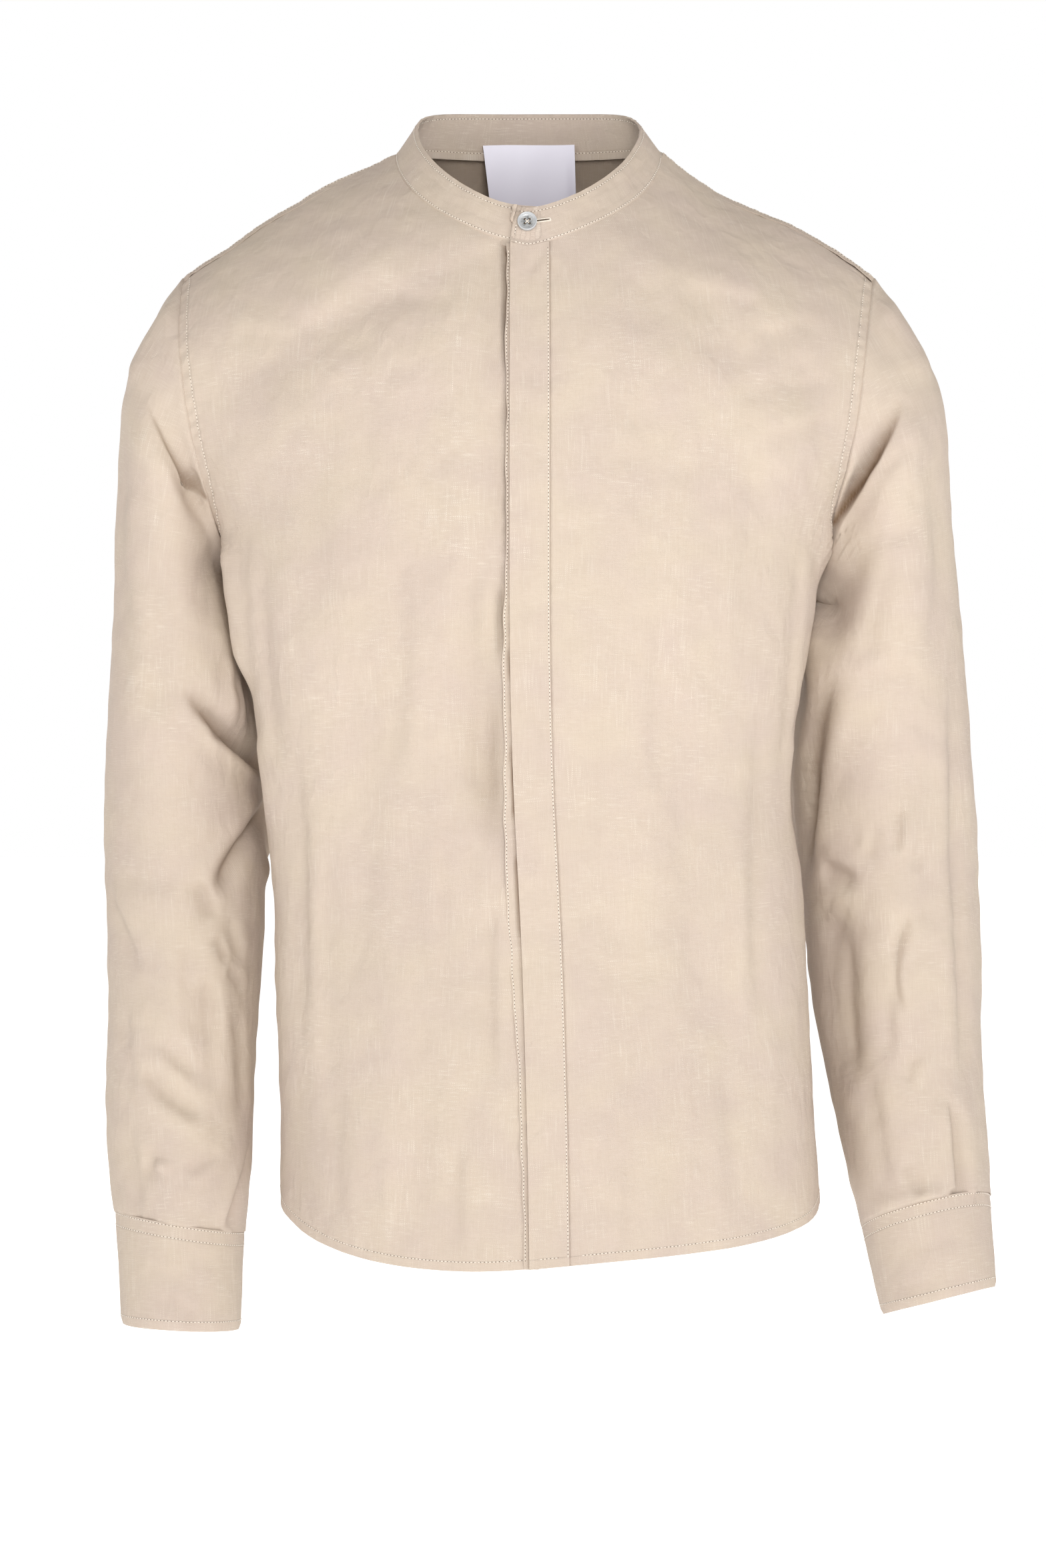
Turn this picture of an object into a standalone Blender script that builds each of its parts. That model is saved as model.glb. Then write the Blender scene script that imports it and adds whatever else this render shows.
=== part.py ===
"""A man's long-sleeved linen shirt with a stand-up band collar and a concealed front placket.

The cloth keeps the hollow form that it has on a general figure. Every cut piece is its own closed
wall. Lengths are in millimetres until the meshes are made, +Z is up, the front faces -Y, and the
wearer's right arm is at -X. The origin is between the two points where the shoulder seams meet the
neck, which is where a wearer's neck and shoulders carry the shirt.
"""

import math

import bmesh
import bpy
import numpy as np
from mathutils import Matrix, Vector

MM = 0.001

# Cloth and seams
CLOTH = 1.5             # one layer of shirt cloth, with its seams and hems
PLACKET_CLOTH = 2.0     # the placket is folded double
BAND_CLOTH = 2.0        # the collar band and the cuffs are two layers
LABEL_CLOTH = 1.0
SEAM = 0.3              # room between two pieces where they are sewn together
SIDE_SEAM = 0.2         # each side's share of it at the side seams and armholes

# Front closing, distances along the cloth from the centre front
PLACKET_RIGHT = -12.0   # the folded edge, on the wearer's right of the centre
PLACKET_LEFT = 13.5     # where its stitch line holds it to the left front
PLACKET_STRIP = (PLACKET_RIGHT, PLACKET_RIGHT / 2, 0.0, PLACKET_LEFT / 2, PLACKET_LEFT)
PLACKET_LIFT = 0.5      # how far the folded strip stands above the front
UNDERLAP = 9.0          # how far the right front reaches past the centre, under the placket
TUCK = 2.3              # how far the right end of front and band is pressed in, to lie under the left
TUCK_START = -36.0
TUCK_END = -15.0

# Collar band: turns are degrees round the neck from the centre front, to the wearer's left
BAND_OVER_END = -8.5    # the end that lies on top
BAND_OVER_LEAN = 3.0    # its edge leans back towards the top by this turn
BAND_UNDER_END = 367.0
RIGHT_SIDE_TURN = 270.0

LABEL_WIDTH = 61.0
LABEL_HEIGHT = 44.0
LABEL_TOP = 14.0        # its top edge covers the seam of the band
LABEL_Y = 57.6          # the face of its middle at the top
LABEL_BOW = 2.6         # its sides come forward with the neck
LABEL_SWING = 2.0       # its lower edge hangs forward

BUTTON_SIDES = 20
BUTTON_TURN = -0.6      # where the collar button is on the band
BUTTON_HEIGHT = 0.62
HOLE_RADIUS = 0.75
HOLE_PITCH = 2.7
HOLE_SIDES = 8
PEG_LENGTH = 10.0       # the cutter reaches through the button on both sides
CUFF_BUTTON_LIFT = 0.75 # its flat back stands on the round of the cuff

# Cuffs: turns are shares of the way round the arm, from the underarm by way of the front
CUFF_OVERLAP = 0.085    # share of the way round by which the ends overlap
SLIT = 0.69             # where the sleeve is slit, behind the outer edge of the arm
SLIT_LENGTH = 62.0
SLIT_WIDTH = 1.4

# How many quads each piece has. The rows of the body below the arms, between the underarm and the
# neck, and beside the neck set where the points of each seam lie, on both sides of it.
BODY_STEPS = 16
CHEST_STEPS = 7
NECK_STEPS = 6
FRONT_COLUMNS = 12
BACK_COLUMNS = 24
LABEL_COLUMNS = 6
LABEL_ROWS = 4
SLEEVE_STEPS = (7, 20)  # above and below the second section
BAND_ROWS = 2
CUFF_COLUMNS = 30
CUFF_ROWS = 2


def table(columns, *rows):
    """Rows of numbers under named columns, as one array for each column."""
    return {name: np.array(column, float) for name, column in zip(columns.split(), zip(*rows))}


# The body below the arms. Each row is a line round the shirt, from the hem up. The z columns give its
# height at the side seam, centre front and centre back; right and left are how far the side seams are
# from the middle; flare is how far the front swings out past the side seam, and lean how much the
# front hangs lower on the wearer's right.
BODY = table(
    "side_z front_z back_z right left centre side_y front back flare lean",
    (-683, -723, -724, 162.5, 192.0, 12.5, 4, -114, 106, 6, 11),
    (-630, -652, -654, 163.0, 189.5, 11.5, 4, -113, 104, 8, 6),
    (-568, -576, -578, 165.5, 184.5, 9.5, 5, -110, 99, 11, 2),
    (-515, -518, -520, 165.5, 181.5, 7.5, 6, -108, 95, 13, 0),
    (-468, -468, -470, 168.0, 178.0, 5.0, 8, -108, 92, 16, 0),
    (-425, -420, -423, 171.0, 169.0, 2.5, 10, -109, 94, 20, 0),
    (-365, -355, -360, 177.0, 174.0, 0.5, 13, -114, 103, 26, 0),
    (-312, -296, -304, 186.5, 182.0, 0.0, 16, -118, 112, 32, 0),
    (-272, -250, -262, 194.0, 188.0, 0.0, 18, -119, 116, 27, 0),
)
HEM_ROUNDING = 0.72     # how soon the hem drops from the side seam to its lowest line
SECTION_SQUARENESS = 0.62

# The centre front from the underarm line up to the neck, and the centre back likewise.
CENTRE_FRONT = table("y z", (-117.5, -208), (-112, -162), (-101, -116), (-85, -71))
CENTRE_BACK = table("y z", (118.5, -195), (113, -125), (92, -55), (63, 7))

# The neck seam and the top edge of the collar band: half an opening, from the centre front at turn 0
# to the centre back at turn 180.
NECK = table(
    "turn seam_x seam_y seam_z top_x top_y top_z",
    (0, 0.0, -85.0, -71.0, 0.0, -77.5, -45.5),
    (15, 22.5, -82.5, -64.5, 18.5, -75.0, -41.5),
    (30, 44.0, -74.0, -54.5, 36.0, -67.0, -32.5),
    (50, 67.0, -55.5, -39.5, 55.5, -49.0, -18.0),
    (70, 82.5, -30.5, -21.5, 68.5, -27.0, -1.5),
    (90, 88.5, -2.0, -3.5, 74.5, 1.5, 15.0),
    (110, 85.0, 25.0, 5.5, 71.5, 27.0, 27.0),
    (130, 70.0, 45.5, 7.5, 60.0, 43.5, 32.5),
    (155, 38.5, 59.5, 7.5, 33.0, 54.0, 34.0),
    (180, 0.0, 63.0, 7.0, 0.0, 57.0, 34.5),
)

# The armhole: turn is the share of the way round from the underarm by way of the front.
ARMHOLE = table(
    "turn right left y z",
    (0.00, 194, 188, 18, -272),
    (0.10, 202, 196, -12, -253),
    (0.20, 212, 206, -36, -218),
    (0.30, 221, 214, -46, -176),
    (0.40, 227, 220, -38, -128),
    (0.50, 228, 228, 6, -82),
    (0.60, 232, 230, 52, -105),
    (0.70, 231, 227, 80, -154),
    (0.80, 222, 217, 86, -205),
    (0.90, 207, 202, 62, -250),
    (1.00, 194, 188, 18, -272),
)

# How the cloth crosses the chest, shoulders and back above the underarm. Each row joins a turn of the
# armhole to the centre line or to a turn of the neck, leaves the armhole in the direction (in, ahead,
# rise), and arrives from the direction (out, ahead_2, rise_2). The row before the first is the
# underarm row of the front, and the row after the last is the underarm row of the back.
CROSSING = table(
    "arm neck in ahead rise out ahead_2 rise_2",
    (0.085, 0, -8, 62, 8, 112, 0, 0),
    (0.165, 0, 10, 52, 12, 108, 2, 0),
    (0.235, 0, 30, 45, 18, 96, 8, -4),
    (0.300, 0, 44, 35, 26, 64, 4, -10),
    (0.370, 32, 50, 24, 32, 56, 3, -18),
    (0.440, 66, 50, 11, 36, 48, 2, -20),
    (0.500, 97, 46, 0, 36, 46, 0, -20),
    (0.560, 122, 50, -10, 34, 46, -3, -20),
    (0.630, 150, 50, -20, 28, 54, -6, -14),
    (0.700, 180, 48, -31, 20, 66, -10, -5),
    (0.780, 0, 36, -44, 14, 92, -8, 0),
    (0.860, 0, 10, -52, 10, 104, -3, 0),
    (0.930, 0, -16, -54, 6, 110, 0, 0),
)
LEFT_SHOULDER = (1.2, 2.0)  # its slope at the armhole and at the neck, against the right one's
UNDERARM_ROW = 8        # rows below it are those of BODY
NECK_ROW = 12           # where the centre front meets the neck
SHOULDER_ROW = 15       # the shoulder seam
NAPE_ROW = 18
BACK_UNDERARM_ROW = 22
LAST_ROW = 30           # the hem of the back

# Sleeve sections from the cap down to the cuff seam: x and y of the arm's middle, half width and half
# depth, how far the section's front turns outwards, and how far its outer and front ends rise.
RIGHT_SLEEVE = table(
    "x y z width depth turn rise_out rise_front",
    (-233, 24, -219, 30, 68, 6, 75, 8),
    (-231, 33, -273, 39, 70, 10, 54, 6),
    (-228, 37, -331, 47, 68, 10, 34, 4),
    (-230, 38, -386, 48.5, 64, 8, 20, 2),
    (-230, 37, -441, 52, 60, 5, 10, 0),
    (-228, 33, -497, 52.5, 56, 2, 5, -2),
    (-228, 26, -552, 50, 52, 0, 3, -2),
    (-230, 18, -606, 47.5, 49, 0, 4, -1),
    (-231, 9, -657, 46, 46, 0, 6, 0),
    (-230, 0, -704, 41.5, 41, 0, 7, 1),
)
LEFT_SLEEVE = table(
    "x y z width depth turn rise_out rise_front",
    (236, 24, -219, 31, 68, 6, 73, 8),
    (235, 33, -273, 41, 70, 10, 54, 6),
    (232, 38, -331, 52, 69, 10, 34, 4),
    (235, 40, -386, 57, 65, 8, 20, 3),
    (239, 38, -441, 59, 61, 5, 12, 3),
    (242, 33, -497, 57, 57, 2, 8, 4),
    (245, 25, -550, 55, 53, 0, 8, 5),
    (249.5, 16, -602, 50.5, 49, 0, 8, 7),
    (255.5, 6, -651, 46.5, 46, 0, 9, 9),
    (261.5, -3, -697, 41.5, 41, 0, 10, 11),
)
CUFF_HEMS = table(
    "x y z width depth turn rise_out rise_front",
    (-228.5, -10, -772, 37.5, 38, 0, 2, 1),
    (269.5, -12, -755, 36, 37, 0, 9, 5),
)
CUFF_TOP_EASE = 1.0     # the cuff is this much narrower than the gathered sleeve above it
UNDERARM_START = (0.98, 0.0, -0.20)     # outwards, back, up: how the sleeve leaves the underarm
SLEEVE_START = 52.0
UNDERARM_PULL = 40.0

# Folds. Each row is a straight stretch of a soft trough, seen from the front, or from the back where
# face is -1: its two ends, half width and depth.
BODY_FOLDS = table(
    "x z x2 z2 width depth face",
    (-30, -262, -34, -352, 13, 4.0, 1),
    (-34, -352, -28, -462, 12, 6.0, 1),
    (-92, -300, -112, -560, 20, 3.0, 1),
    (96, -340, 112, -600, 20, 2.5, 1),
    (60, -470, 52, -690, 16, 2.5, 1),
    (-70, -520, -62, -700, 16, 2.5, 1),
    (-150, -150, -84, -92, 14, 2.0, 1),
    (150, -150, 92, -96, 14, 2.0, 1),
    (-120, -150, -70, -330, 22, 4.0, -1),
    (122, -160, 74, -340, 22, 4.0, -1),
    (-60, -350, -84, -640, 20, 4.5, -1),
    (66, -370, 88, -660, 20, 4.0, -1),
    (4, -430, 10, -690, 18, 3.5, -1),
)
RIGHT_SLEEVE_FOLDS = table(
    "x z x2 z2 width depth face",
    (-256, -160, -238, -200, 9, 8.0, 1),
    (-238, -200, -208, -236, 9, 10.0, 1),
    (-222, -361, -196, -387, 8, 5.5, 1),
    (-196, -387, -176, -404, 8, 7.5, 1),
    (-174, -428, -196, -458, 8, 7.5, 1),
    (-196, -458, -214, -506, 8, 5.5, 1),
    (-277, -489, -258, -537, 9, 3.0, 1),
    (-258, -598, -240, -625, 8, 4.0, 1),
    (-240, -625, -211, -645, 8, 4.0, 1),
    (-240, -587, -217, -607, 7, 3.0, 1),
    (-250, -190, -215, -250, 10, 8.0, -1),
    (-276, -372, -218, -398, 9, 5.5, -1),
    (-262, -432, -192, -450, 9, 6.0, -1),
    (-270, -500, -214, -486, 8, 4.5, -1),
    (-262, -600, -220, -628, 8, 3.0, -1),
)
LEFT_SLEEVE_FOLDS = table(
    "x z x2 z2 width depth face",
    (248, -162, 230, -199, 9, 8.0, 1),
    (230, -199, 197, -243, 9, 10.0, 1),
    (199, -366, 196, -398, 8, 6.0, 1),
    (196, -398, 183, -456, 8, 7.5, 1),
    (192, -470, 223, -499, 8, 7.0, 1),
    (212, -500, 205, -560, 12, 4.5, 1),
    (246, -432, 243, -462, 7, 3.0, 1),
    (251, -503, 242, -536, 7, 3.0, 1),
    (246, -664, 258, -686, 7, 2.5, 1),
    (252, -190, 214, -250, 10, 8.0, -1),
    (284, -380, 222, -402, 9, 5.5, -1),
    (196, -436, 268, -452, 9, 6.0, -1),
    (224, -488, 282, -506, 8, 4.5, -1),
    (236, -610, 280, -634, 8, 3.0, -1),
)
# The pleat that takes the sleeve's fullness into its cuff: its turn round the arm, how long it is, how
# high it stands, and on which side of it the under layer lies.
PLEATS = table(
    "arm turn length height under",
    (0, 0.145, 58, 3.2, -1),
    (0, 0.300, 44, 2.0, -1),
    (1, 0.335, 60, 3.0, 1),
    (1, 0.200, 42, 2.0, 1),
)
# The button's outline, from the middle of its back round to the middle of its face.
BUTTON_PROFILE = table(
    "radius height",
    (0.0, 0.0),
    (4.6, 0.0),
    (5.9, 0.7),
    (6.3, 1.6),
    (5.9, 2.4),
    (5.1, 2.4),
    (4.3, 1.7),
    (0.0, 1.5),
)
FOLD_FADE = 24.0        # folds die away over this distance from a seam
FOLD_BANK = 0.4         # how high the cloth rises beside a trough, as a share of its depth
SHOULDER_CALM = 3.0     # rows on each side of the shoulder seam where the body's folds die away
PLEAT_RIDGE = (-4.0, 8.0)       # where a pleat's fold lies beside its line, and its half width
PLEAT_UNDER = (7.0, 6.0, 0.7)   # the same for its under layer, and its depth as a share of the height
CUFF_BUTTON_COLUMN = -3
ROW_SAMPLES = 96
SMALL = 1e-3


def unit(vectors):
    return vectors / np.linalg.norm(vectors, axis=-1, keepdims=True)


def ease(share):
    """0 to 1, level at both ends."""
    share = np.clip(share, 0.0, 1.0)
    return share * share * (3.0 - 2.0 * share)


def through(values, at, leave=None):
    """A smooth curve through values, one at each whole number, that may leave the first one so."""
    values = np.asarray(values, float)
    at = float(np.clip(at, 0, len(values) - 1))
    start = min(int(at), len(values) - 2)
    part = at - start
    first, second = values[start], values[start + 1]
    before = values[start - 1] if start else 2 * first - second
    after = values[start + 2] if start + 2 < len(values) else 2 * second - first
    if start or leave is None:
        leave = (second - before) / 2
    arrive = (after - first) / 2
    square, cube = part**2, part**3
    return (
        (2 * cube - 3 * square + 1) * first
        + (cube - 2 * square + part) * leave
        + (3 * square - 2 * cube) * second
        + (cube - square) * arrive
    )


def read(rows, turn, columns):
    """The named columns of a table at one value of its column turn."""
    at = np.interp(turn, rows["turn"], np.arange(len(rows["turn"])))
    return through(np.stack([rows[name] for name in columns.split()], axis=-1), at)


def lengths(line):
    return np.concatenate([[0], np.cumsum(np.linalg.norm(np.diff(line, axis=0), axis=1))])


def along(line, wanted):
    """The points of a line at these distances from its start."""
    reach = lengths(line)
    return np.stack([np.interp(wanted, reach, line[:, axis]) for axis in range(3)], axis=-1)


def neck(turn, edge):
    """A point of the neck seam or of the band's top edge, at a turn to the wearer's left."""
    turn = turn % 360.0
    side = 1.0 if turn <= 180.0 else -1.0
    x, y, z = read(NECK, min(turn, 360.0 - turn), f"{edge}_x {edge}_y {edge}_z")
    return np.array((side * x, y, z))


def armhole(side, turn):
    """A point of the armhole seam. side is -1 on the wearer's right and 1 on the left."""
    half, y, z = read(ARMHOLE, turn, ("left" if side > 0 else "right") + " y z")
    return np.array((side * half, y, z))


def handles(side):
    """How far and which way each row heads as it leaves its side, and from where it meets its middle."""
    half = BODY["left"] if side > 0 else BODY["right"]
    square = SECTION_SQUARENESS
    level = np.zeros(len(half))
    flare = side * BODY["flare"]
    reaches = []
    for face, sign in (("front", 1), ("back", -1)):
        depth = square * (BODY[face] - BODY["side_y"])
        drop = HEM_ROUNDING * (BODY[face + "_z"] - BODY["side_z"])
        reaches.append(np.stack([sign * flare, depth, drop], axis=-1))
    middle = np.stack([side * square * half, level, level], axis=-1)
    front = np.stack([side * square * half, level, side * BODY["lean"]], axis=-1)
    low, high = LEFT_SHOULDER if side > 0 else (1.0, 1.0)
    cross = np.stack([-side * CROSSING["in"], -CROSSING["ahead"], low * CROSSING["rise"]], axis=-1)
    meet = np.stack([side * CROSSING["out"], -CROSSING["ahead_2"], high * CROSSING["rise_2"]], axis=-1)
    leave = np.concatenate([reaches[0], cross, reaches[1][::-1]])
    return leave, np.concatenate([front, meet, middle[::-1]])


HANDLES = {side: handles(side) for side in (-1, 1)}
# Where the rows of the body meet the armhole, and the neck seam from the centre front to the back
ARM_TURNS = np.concatenate([[0.0], CROSSING["arm"], [1.0]])
NECK_TURNS = CROSSING["neck"][NECK_ROW - UNDERARM_ROW - 1 : NAPE_ROW - UNDERARM_ROW]
ARM_STEPS = np.linspace(0, len(ARM_TURNS) - 1, ROW_SAMPLES)
ARM_STEP_TURNS = [through(ARM_TURNS, step) for step in ARM_STEPS]
FRONT_ROWS = np.concatenate(
    [
        np.linspace(0, UNDERARM_ROW, BODY_STEPS + 1),
        np.linspace(UNDERARM_ROW, NECK_ROW, CHEST_STEPS + 1)[1:],
        np.linspace(NECK_ROW, SHOULDER_ROW, NECK_STEPS + 1)[1:],
    ]
)
BACK_ROWS = LAST_ROW - FRONT_ROWS[::-1]


def side_point(side, row):
    """Where a row starts: on the side seam or on the armhole."""
    if UNDERARM_ROW < row < BACK_UNDERARM_ROW:
        return armhole(side, through(ARM_TURNS, row - UNDERARM_ROW))
    half = BODY["left"] if side > 0 else BODY["right"]
    column = np.stack([side * half, BODY["side_y"], BODY["side_z"]], axis=-1)
    return through(column, min(row, LAST_ROW - row))


def middle_point(row):
    """A point of the centre front or centre back."""
    face, upper = ("front", CENTRE_FRONT) if row <= NECK_ROW else ("back", CENTRE_BACK)
    below = np.stack([BODY["centre"], BODY[face], BODY[face + "_z"]], axis=-1)
    above = np.stack([np.zeros(len(upper["y"])), upper["y"], upper["z"]], axis=-1)
    return through(np.concatenate([below, above]), min(row, LAST_ROW - row))


def neck_turn(row, past=0.0):
    """Where a row meets the neck seam, in degrees from the centre front."""
    turn = through(NECK_TURNS, row - NECK_ROW)
    if row < SHOULDER_ROW:
        first = -math.degrees(past / NECK["seam_x"].max())
        turn = first + turn * (1 - first / NECK_TURNS[SHOULDER_ROW - NECK_ROW])
    return turn


def tuck(x):
    """How far the wearer's right half of the closing is pressed in, at this distance past the centre."""
    return TUCK * ease((x - TUCK_START) / (TUCK_END - TUCK_START))


def row_line(side, row, past=0.0):
    """Points across the body on one row, from the side to the middle, or to this far past it.

    Above the point where the centre meets the neck, a row ends on the neck seam instead.
    """
    leave, arrive = (through(reaches, row) for reaches in HANDLES[side])
    start = side_point(side, row)
    on_neck = NECK_ROW <= row <= NAPE_ROW
    if on_neck:
        end = neck(side * neck_turn(row, past), "seam")
    else:
        end = middle_point(row)
    t = np.linspace(0, 1, ROW_SAMPLES)[:, None]
    line = (
        (1 - t) ** 3 * start
        + 3 * (1 - t) ** 2 * t * (start + leave)
        + 3 * (1 - t) * t**2 * (end + arrive)
        + t**3 * end
    )
    if on_neck or not past:
        return line
    if past > 0:
        other = row_line(-side, row)[::-1]
        return np.concatenate([line, along(other, np.linspace(0, past, ROW_SAMPLES)[1:])])
    return along(line, np.linspace(0, lengths(line)[-1] + past, ROW_SAMPLES))


def fold_depth(points, folds, face):
    """How far the folds press each point in. face is 1 where the cloth faces the front, -1 the back."""
    depth = np.zeros(points.shape[:-1])
    flat = points[..., [0, 2]]
    for x, z, x2, z2, width, deep, side in zip(*folds.values()):
        start, run = np.array((x, z)), np.array((x2 - x, z2 - z))
        share = np.clip(((flat - start) @ run) / (run @ run), 0, 1)
        off = np.linalg.norm(flat - start - share[..., None] * run, axis=-1)
        trough = np.exp(-((off / width) ** 2)) - FOLD_BANK * np.exp(-((off / (2 * width)) ** 2))
        depth += deep * trough * ease(2 * side * face)
    return depth


def body_grid(side, rows, columns, past=0.0):
    """Points and outward normals of half a front or back, with its folds."""
    shares = np.linspace(0, 1, columns + 1)
    grid, facing, from_side = [], [], []
    for row in rows:
        near = np.clip((row - SMALL, row, row + SMALL), 0, LAST_ROW)
        lines = [row_line(side, each, past) for each in near]
        below, here, above = (along(line, shares * lengths(line)[-1]) for line in lines)
        run = lengths(lines[1])[-1]
        step = SMALL * run
        across = along(lines[1], np.minimum(shares * run + step, run)) - along(
            lines[1], np.maximum(shares * run - step, 0)
        )
        grid.append(here)
        facing.append(unit(np.cross(across, above - below)) * -side)
        from_side.append(shares * run)
    grid, facing = np.array(grid), np.array(facing)
    calm = ease(np.abs(rows - SHOULDER_ROW) / SHOULDER_CALM)[:, None]
    depth = fold_depth(grid, BODY_FOLDS, -facing[..., 1]) * ease(np.array(from_side) / FOLD_FADE) * calm
    return grid - depth[..., None] * facing, facing


def wall(name, sheets, thickness, finish):
    """A closed wall from grids of outer points with their normals, joined where points meet."""
    places, turned, faces, known = [], [], [], {}
    for points, facing in sheets:
        ids = np.empty(points.shape[:2], int)
        for at in np.ndindex(ids.shape):
            key = tuple(np.round(points[at], 3))
            if key not in known:
                known[key] = len(places)
                places.append(points[at])
                turned.append(np.zeros(3))
            ids[at] = known[key]
            turned[ids[at]] = turned[ids[at]] + facing[at]
        ahead = np.cross(points[1:, 1:] - points[:-1, :-1], points[1:, :-1] - points[:-1, 1:])
        outwards = np.sum(ahead * facing[:-1, :-1]) > 0
        for row, column in np.ndindex(ids.shape[0] - 1, ids.shape[1] - 1):
            quad = [*ids[row, column : column + 2], *ids[row + 1, column : column + 2][::-1]]
            faces.append(quad if outwards else quad[::-1])
    outer = np.array(places)
    inner = outer - unit(np.array(turned)) * thickness
    mesh = bmesh.new()
    skins = [[mesh.verts.new(point * MM) for point in skin] for skin in (outer, inner)]
    sides = {}
    for quad in faces:
        mesh.faces.new([skins[0][i] for i in quad])
        mesh.faces.new([skins[1][i] for i in reversed(quad)])
        for a, b in zip(quad, quad[1:] + quad[:1]):
            if not sides.pop((b, a), None):
                sides[a, b] = True
    for a, b in sides:
        mesh.faces.new((skins[0][b], skins[0][a], skins[1][a], skins[1][b]))
    data = bpy.data.meshes.new(name)
    mesh.to_mesh(data)
    mesh.free()
    return place(name, data, finish)


def place(name, data, finish):
    """Puts a mesh in the scene under a name, smooth and with its material."""
    data.shade_smooth()
    data.set_sharp_from_angle(angle=math.radians(40))
    data.materials.append(finish)
    piece = bpy.data.objects.new(name, data)
    bpy.context.scene.collection.objects.link(piece)
    return piece


def material(name, colour, roughness):
    made = bpy.data.materials.new(name)
    made.use_nodes = True
    shader = made.node_tree.nodes["Principled BSDF"]
    shader.inputs["Base Color"].default_value = colour
    shader.inputs["Roughness"].default_value = roughness
    shader.inputs["Metallic"].default_value = 0.0
    return made


def trimmed(grid, first_row=0.0, last_row=0.0, first_column=0.0, last_column=0.0):
    """Moves the edges of a grid in along the cloth, to leave room for its seams."""
    grid = grid.copy()
    for edge, beside, amount in ((0, 1, first_row), (-1, -2, last_row)):
        grid[edge] += amount * unit(grid[beside] - grid[edge])
    for edge, beside, amount in ((0, 1, first_column), (-1, -2, last_column)):
        grid[:, edge] += amount * unit(grid[:, beside] - grid[:, edge])
    return grid


def make_front(name, side, past):
    """One front, from its side seam, armhole and shoulder to its neck and centre edge."""
    grid, facing = body_grid(side, FRONT_ROWS, FRONT_COLUMNS, past)
    if past > 0:
        centre = np.array([middle_point(min(row, NECK_ROW))[0] for row in FRONT_ROWS])
        grid[..., 1] += tuck(grid[..., 0] - centre[:, None])
    grid = trimmed(grid, last_row=SEAM / 2, first_column=SIDE_SEAM)
    return wall(name, [(grid, facing)], CLOTH, LINEN)


PLACKET_TURNS = [math.degrees(to / NECK["seam_x"].max()) for to in PLACKET_STRIP]


def make_placket():
    """The folded strip down the centre front. Its points are those of the fronts, moved out."""
    grid = []
    for row in FRONT_ROWS[FRONT_ROWS <= NECK_ROW]:
        right, left = row_line(-1, row), row_line(1, row)
        reach_right, reach_left = lengths(right)[-1], lengths(left)[-1]
        line = [
            along(right, reach_right + to) if to < 0 else along(left, reach_left - to)
            for to in PLACKET_STRIP
        ]
        if row == NECK_ROW:
            line = [neck(turn, "seam") for turn in PLACKET_TURNS]
        grid.append(line)
    grid = np.array(grid)
    facing = unit(np.cross(np.gradient(grid, axis=1), np.gradient(grid, axis=0)))
    depth = fold_depth(grid, BODY_FOLDS, -facing[..., 1])
    grid = grid + (PLACKET_LIFT - depth)[..., None] * facing
    grid = trimmed(grid, last_row=SEAM / 2, last_column=SEAM)
    return wall("placket", [(grid, facing)], PLACKET_CLOTH, LINEN)


def make_back():
    """The whole back, whose two halves meet below the nape."""
    halves = []
    for side in (-1, 1):
        grid, facing = body_grid(side, BACK_ROWS, BACK_COLUMNS // 2)
        halves.append((trimmed(grid, first_row=SEAM / 2, first_column=SIDE_SEAM), facing))
    return wall("back", halves, CLOTH, LINEN)


def section(values, shares, side, grow=0.0):
    """Points round one section of an arm."""
    x, y, z, width, depth, turn, rise_out, rise_front = values
    angle = 2 * math.pi * shares
    out, ahead = -np.cos(angle), np.sin(angle)
    lean = math.radians(turn)
    wide, deep = out * (width + grow), ahead * (depth + grow)
    return np.stack(
        [
            x + side * (wide * math.cos(lean) + deep * math.sin(lean)),
            y - deep * math.cos(lean) + wide * math.sin(lean),
            z + rise_out * out + rise_front * ahead,
        ],
        axis=-1,
    )


def arm_shares():
    """Turns round the armhole where the body's rows meet it, from the slit once round to the slit."""
    rows = np.concatenate([FRONT_ROWS, BACK_ROWS[1:]])
    rows = rows[(rows >= UNDERARM_ROW) & (rows < BACK_UNDERARM_ROW)]
    turns = np.array([through(ARM_TURNS, row - UNDERARM_ROW) for row in rows])
    behind = np.searchsorted(turns, SLIT)
    return np.concatenate([turns[behind:], turns[:behind] + 1, [turns[behind] + 1]])


def sleeve_start(side, shares):
    """Points of the armhole, and how the sleeve leaves them: it carries the body's cloth on."""
    points, leave = [], []
    for share in shares % 1.0:
        row = UNDERARM_ROW + np.interp(share, ARM_STEP_TURNS, ARM_STEPS)
        onwards = -unit(through(HANDLES[side][0], row))
        under = np.array(UNDERARM_START) * (side, 1, 1)
        over = float(ease(1 - math.cos(2 * math.pi * share)))
        pull = UNDERARM_PULL + over * (SLEEVE_START - UNDERARM_PULL)
        points.append(armhole(side, share))
        leave.append(pull * unit(over * onwards + (1 - over) * unit(under)))
    return np.array(points), np.array(leave)


def sleeve_line(sections, shares, level, side, start, leave):
    """Points round the sleeve at a level: 0 at the armhole, then one for each section."""
    rings = [section(values, shares, side) for values in zip(*sections.values())]
    return through(np.array([start, *rings]), level, leave)


def pleat_rise(arm, shares, to_cuff, girth):
    """How far the pleats above a cuff stand out."""
    rise = 0.0
    for pleat_arm, turn, length, height, under in zip(*PLEATS.values()):
        if pleat_arm != arm:
            continue
        off = ((shares - turn + 0.5) % 1.0 - 0.5) * girth * under
        ridge = np.exp(-(((off - PLEAT_RIDGE[0]) / PLEAT_RIDGE[1]) ** 2))
        hollow = PLEAT_UNDER[2] * np.exp(-(((off - PLEAT_UNDER[0]) / PLEAT_UNDER[1]) ** 2))
        rise = rise + height * (ridge - hollow) * ease(1 - to_cuff / length)
    return rise


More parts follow.
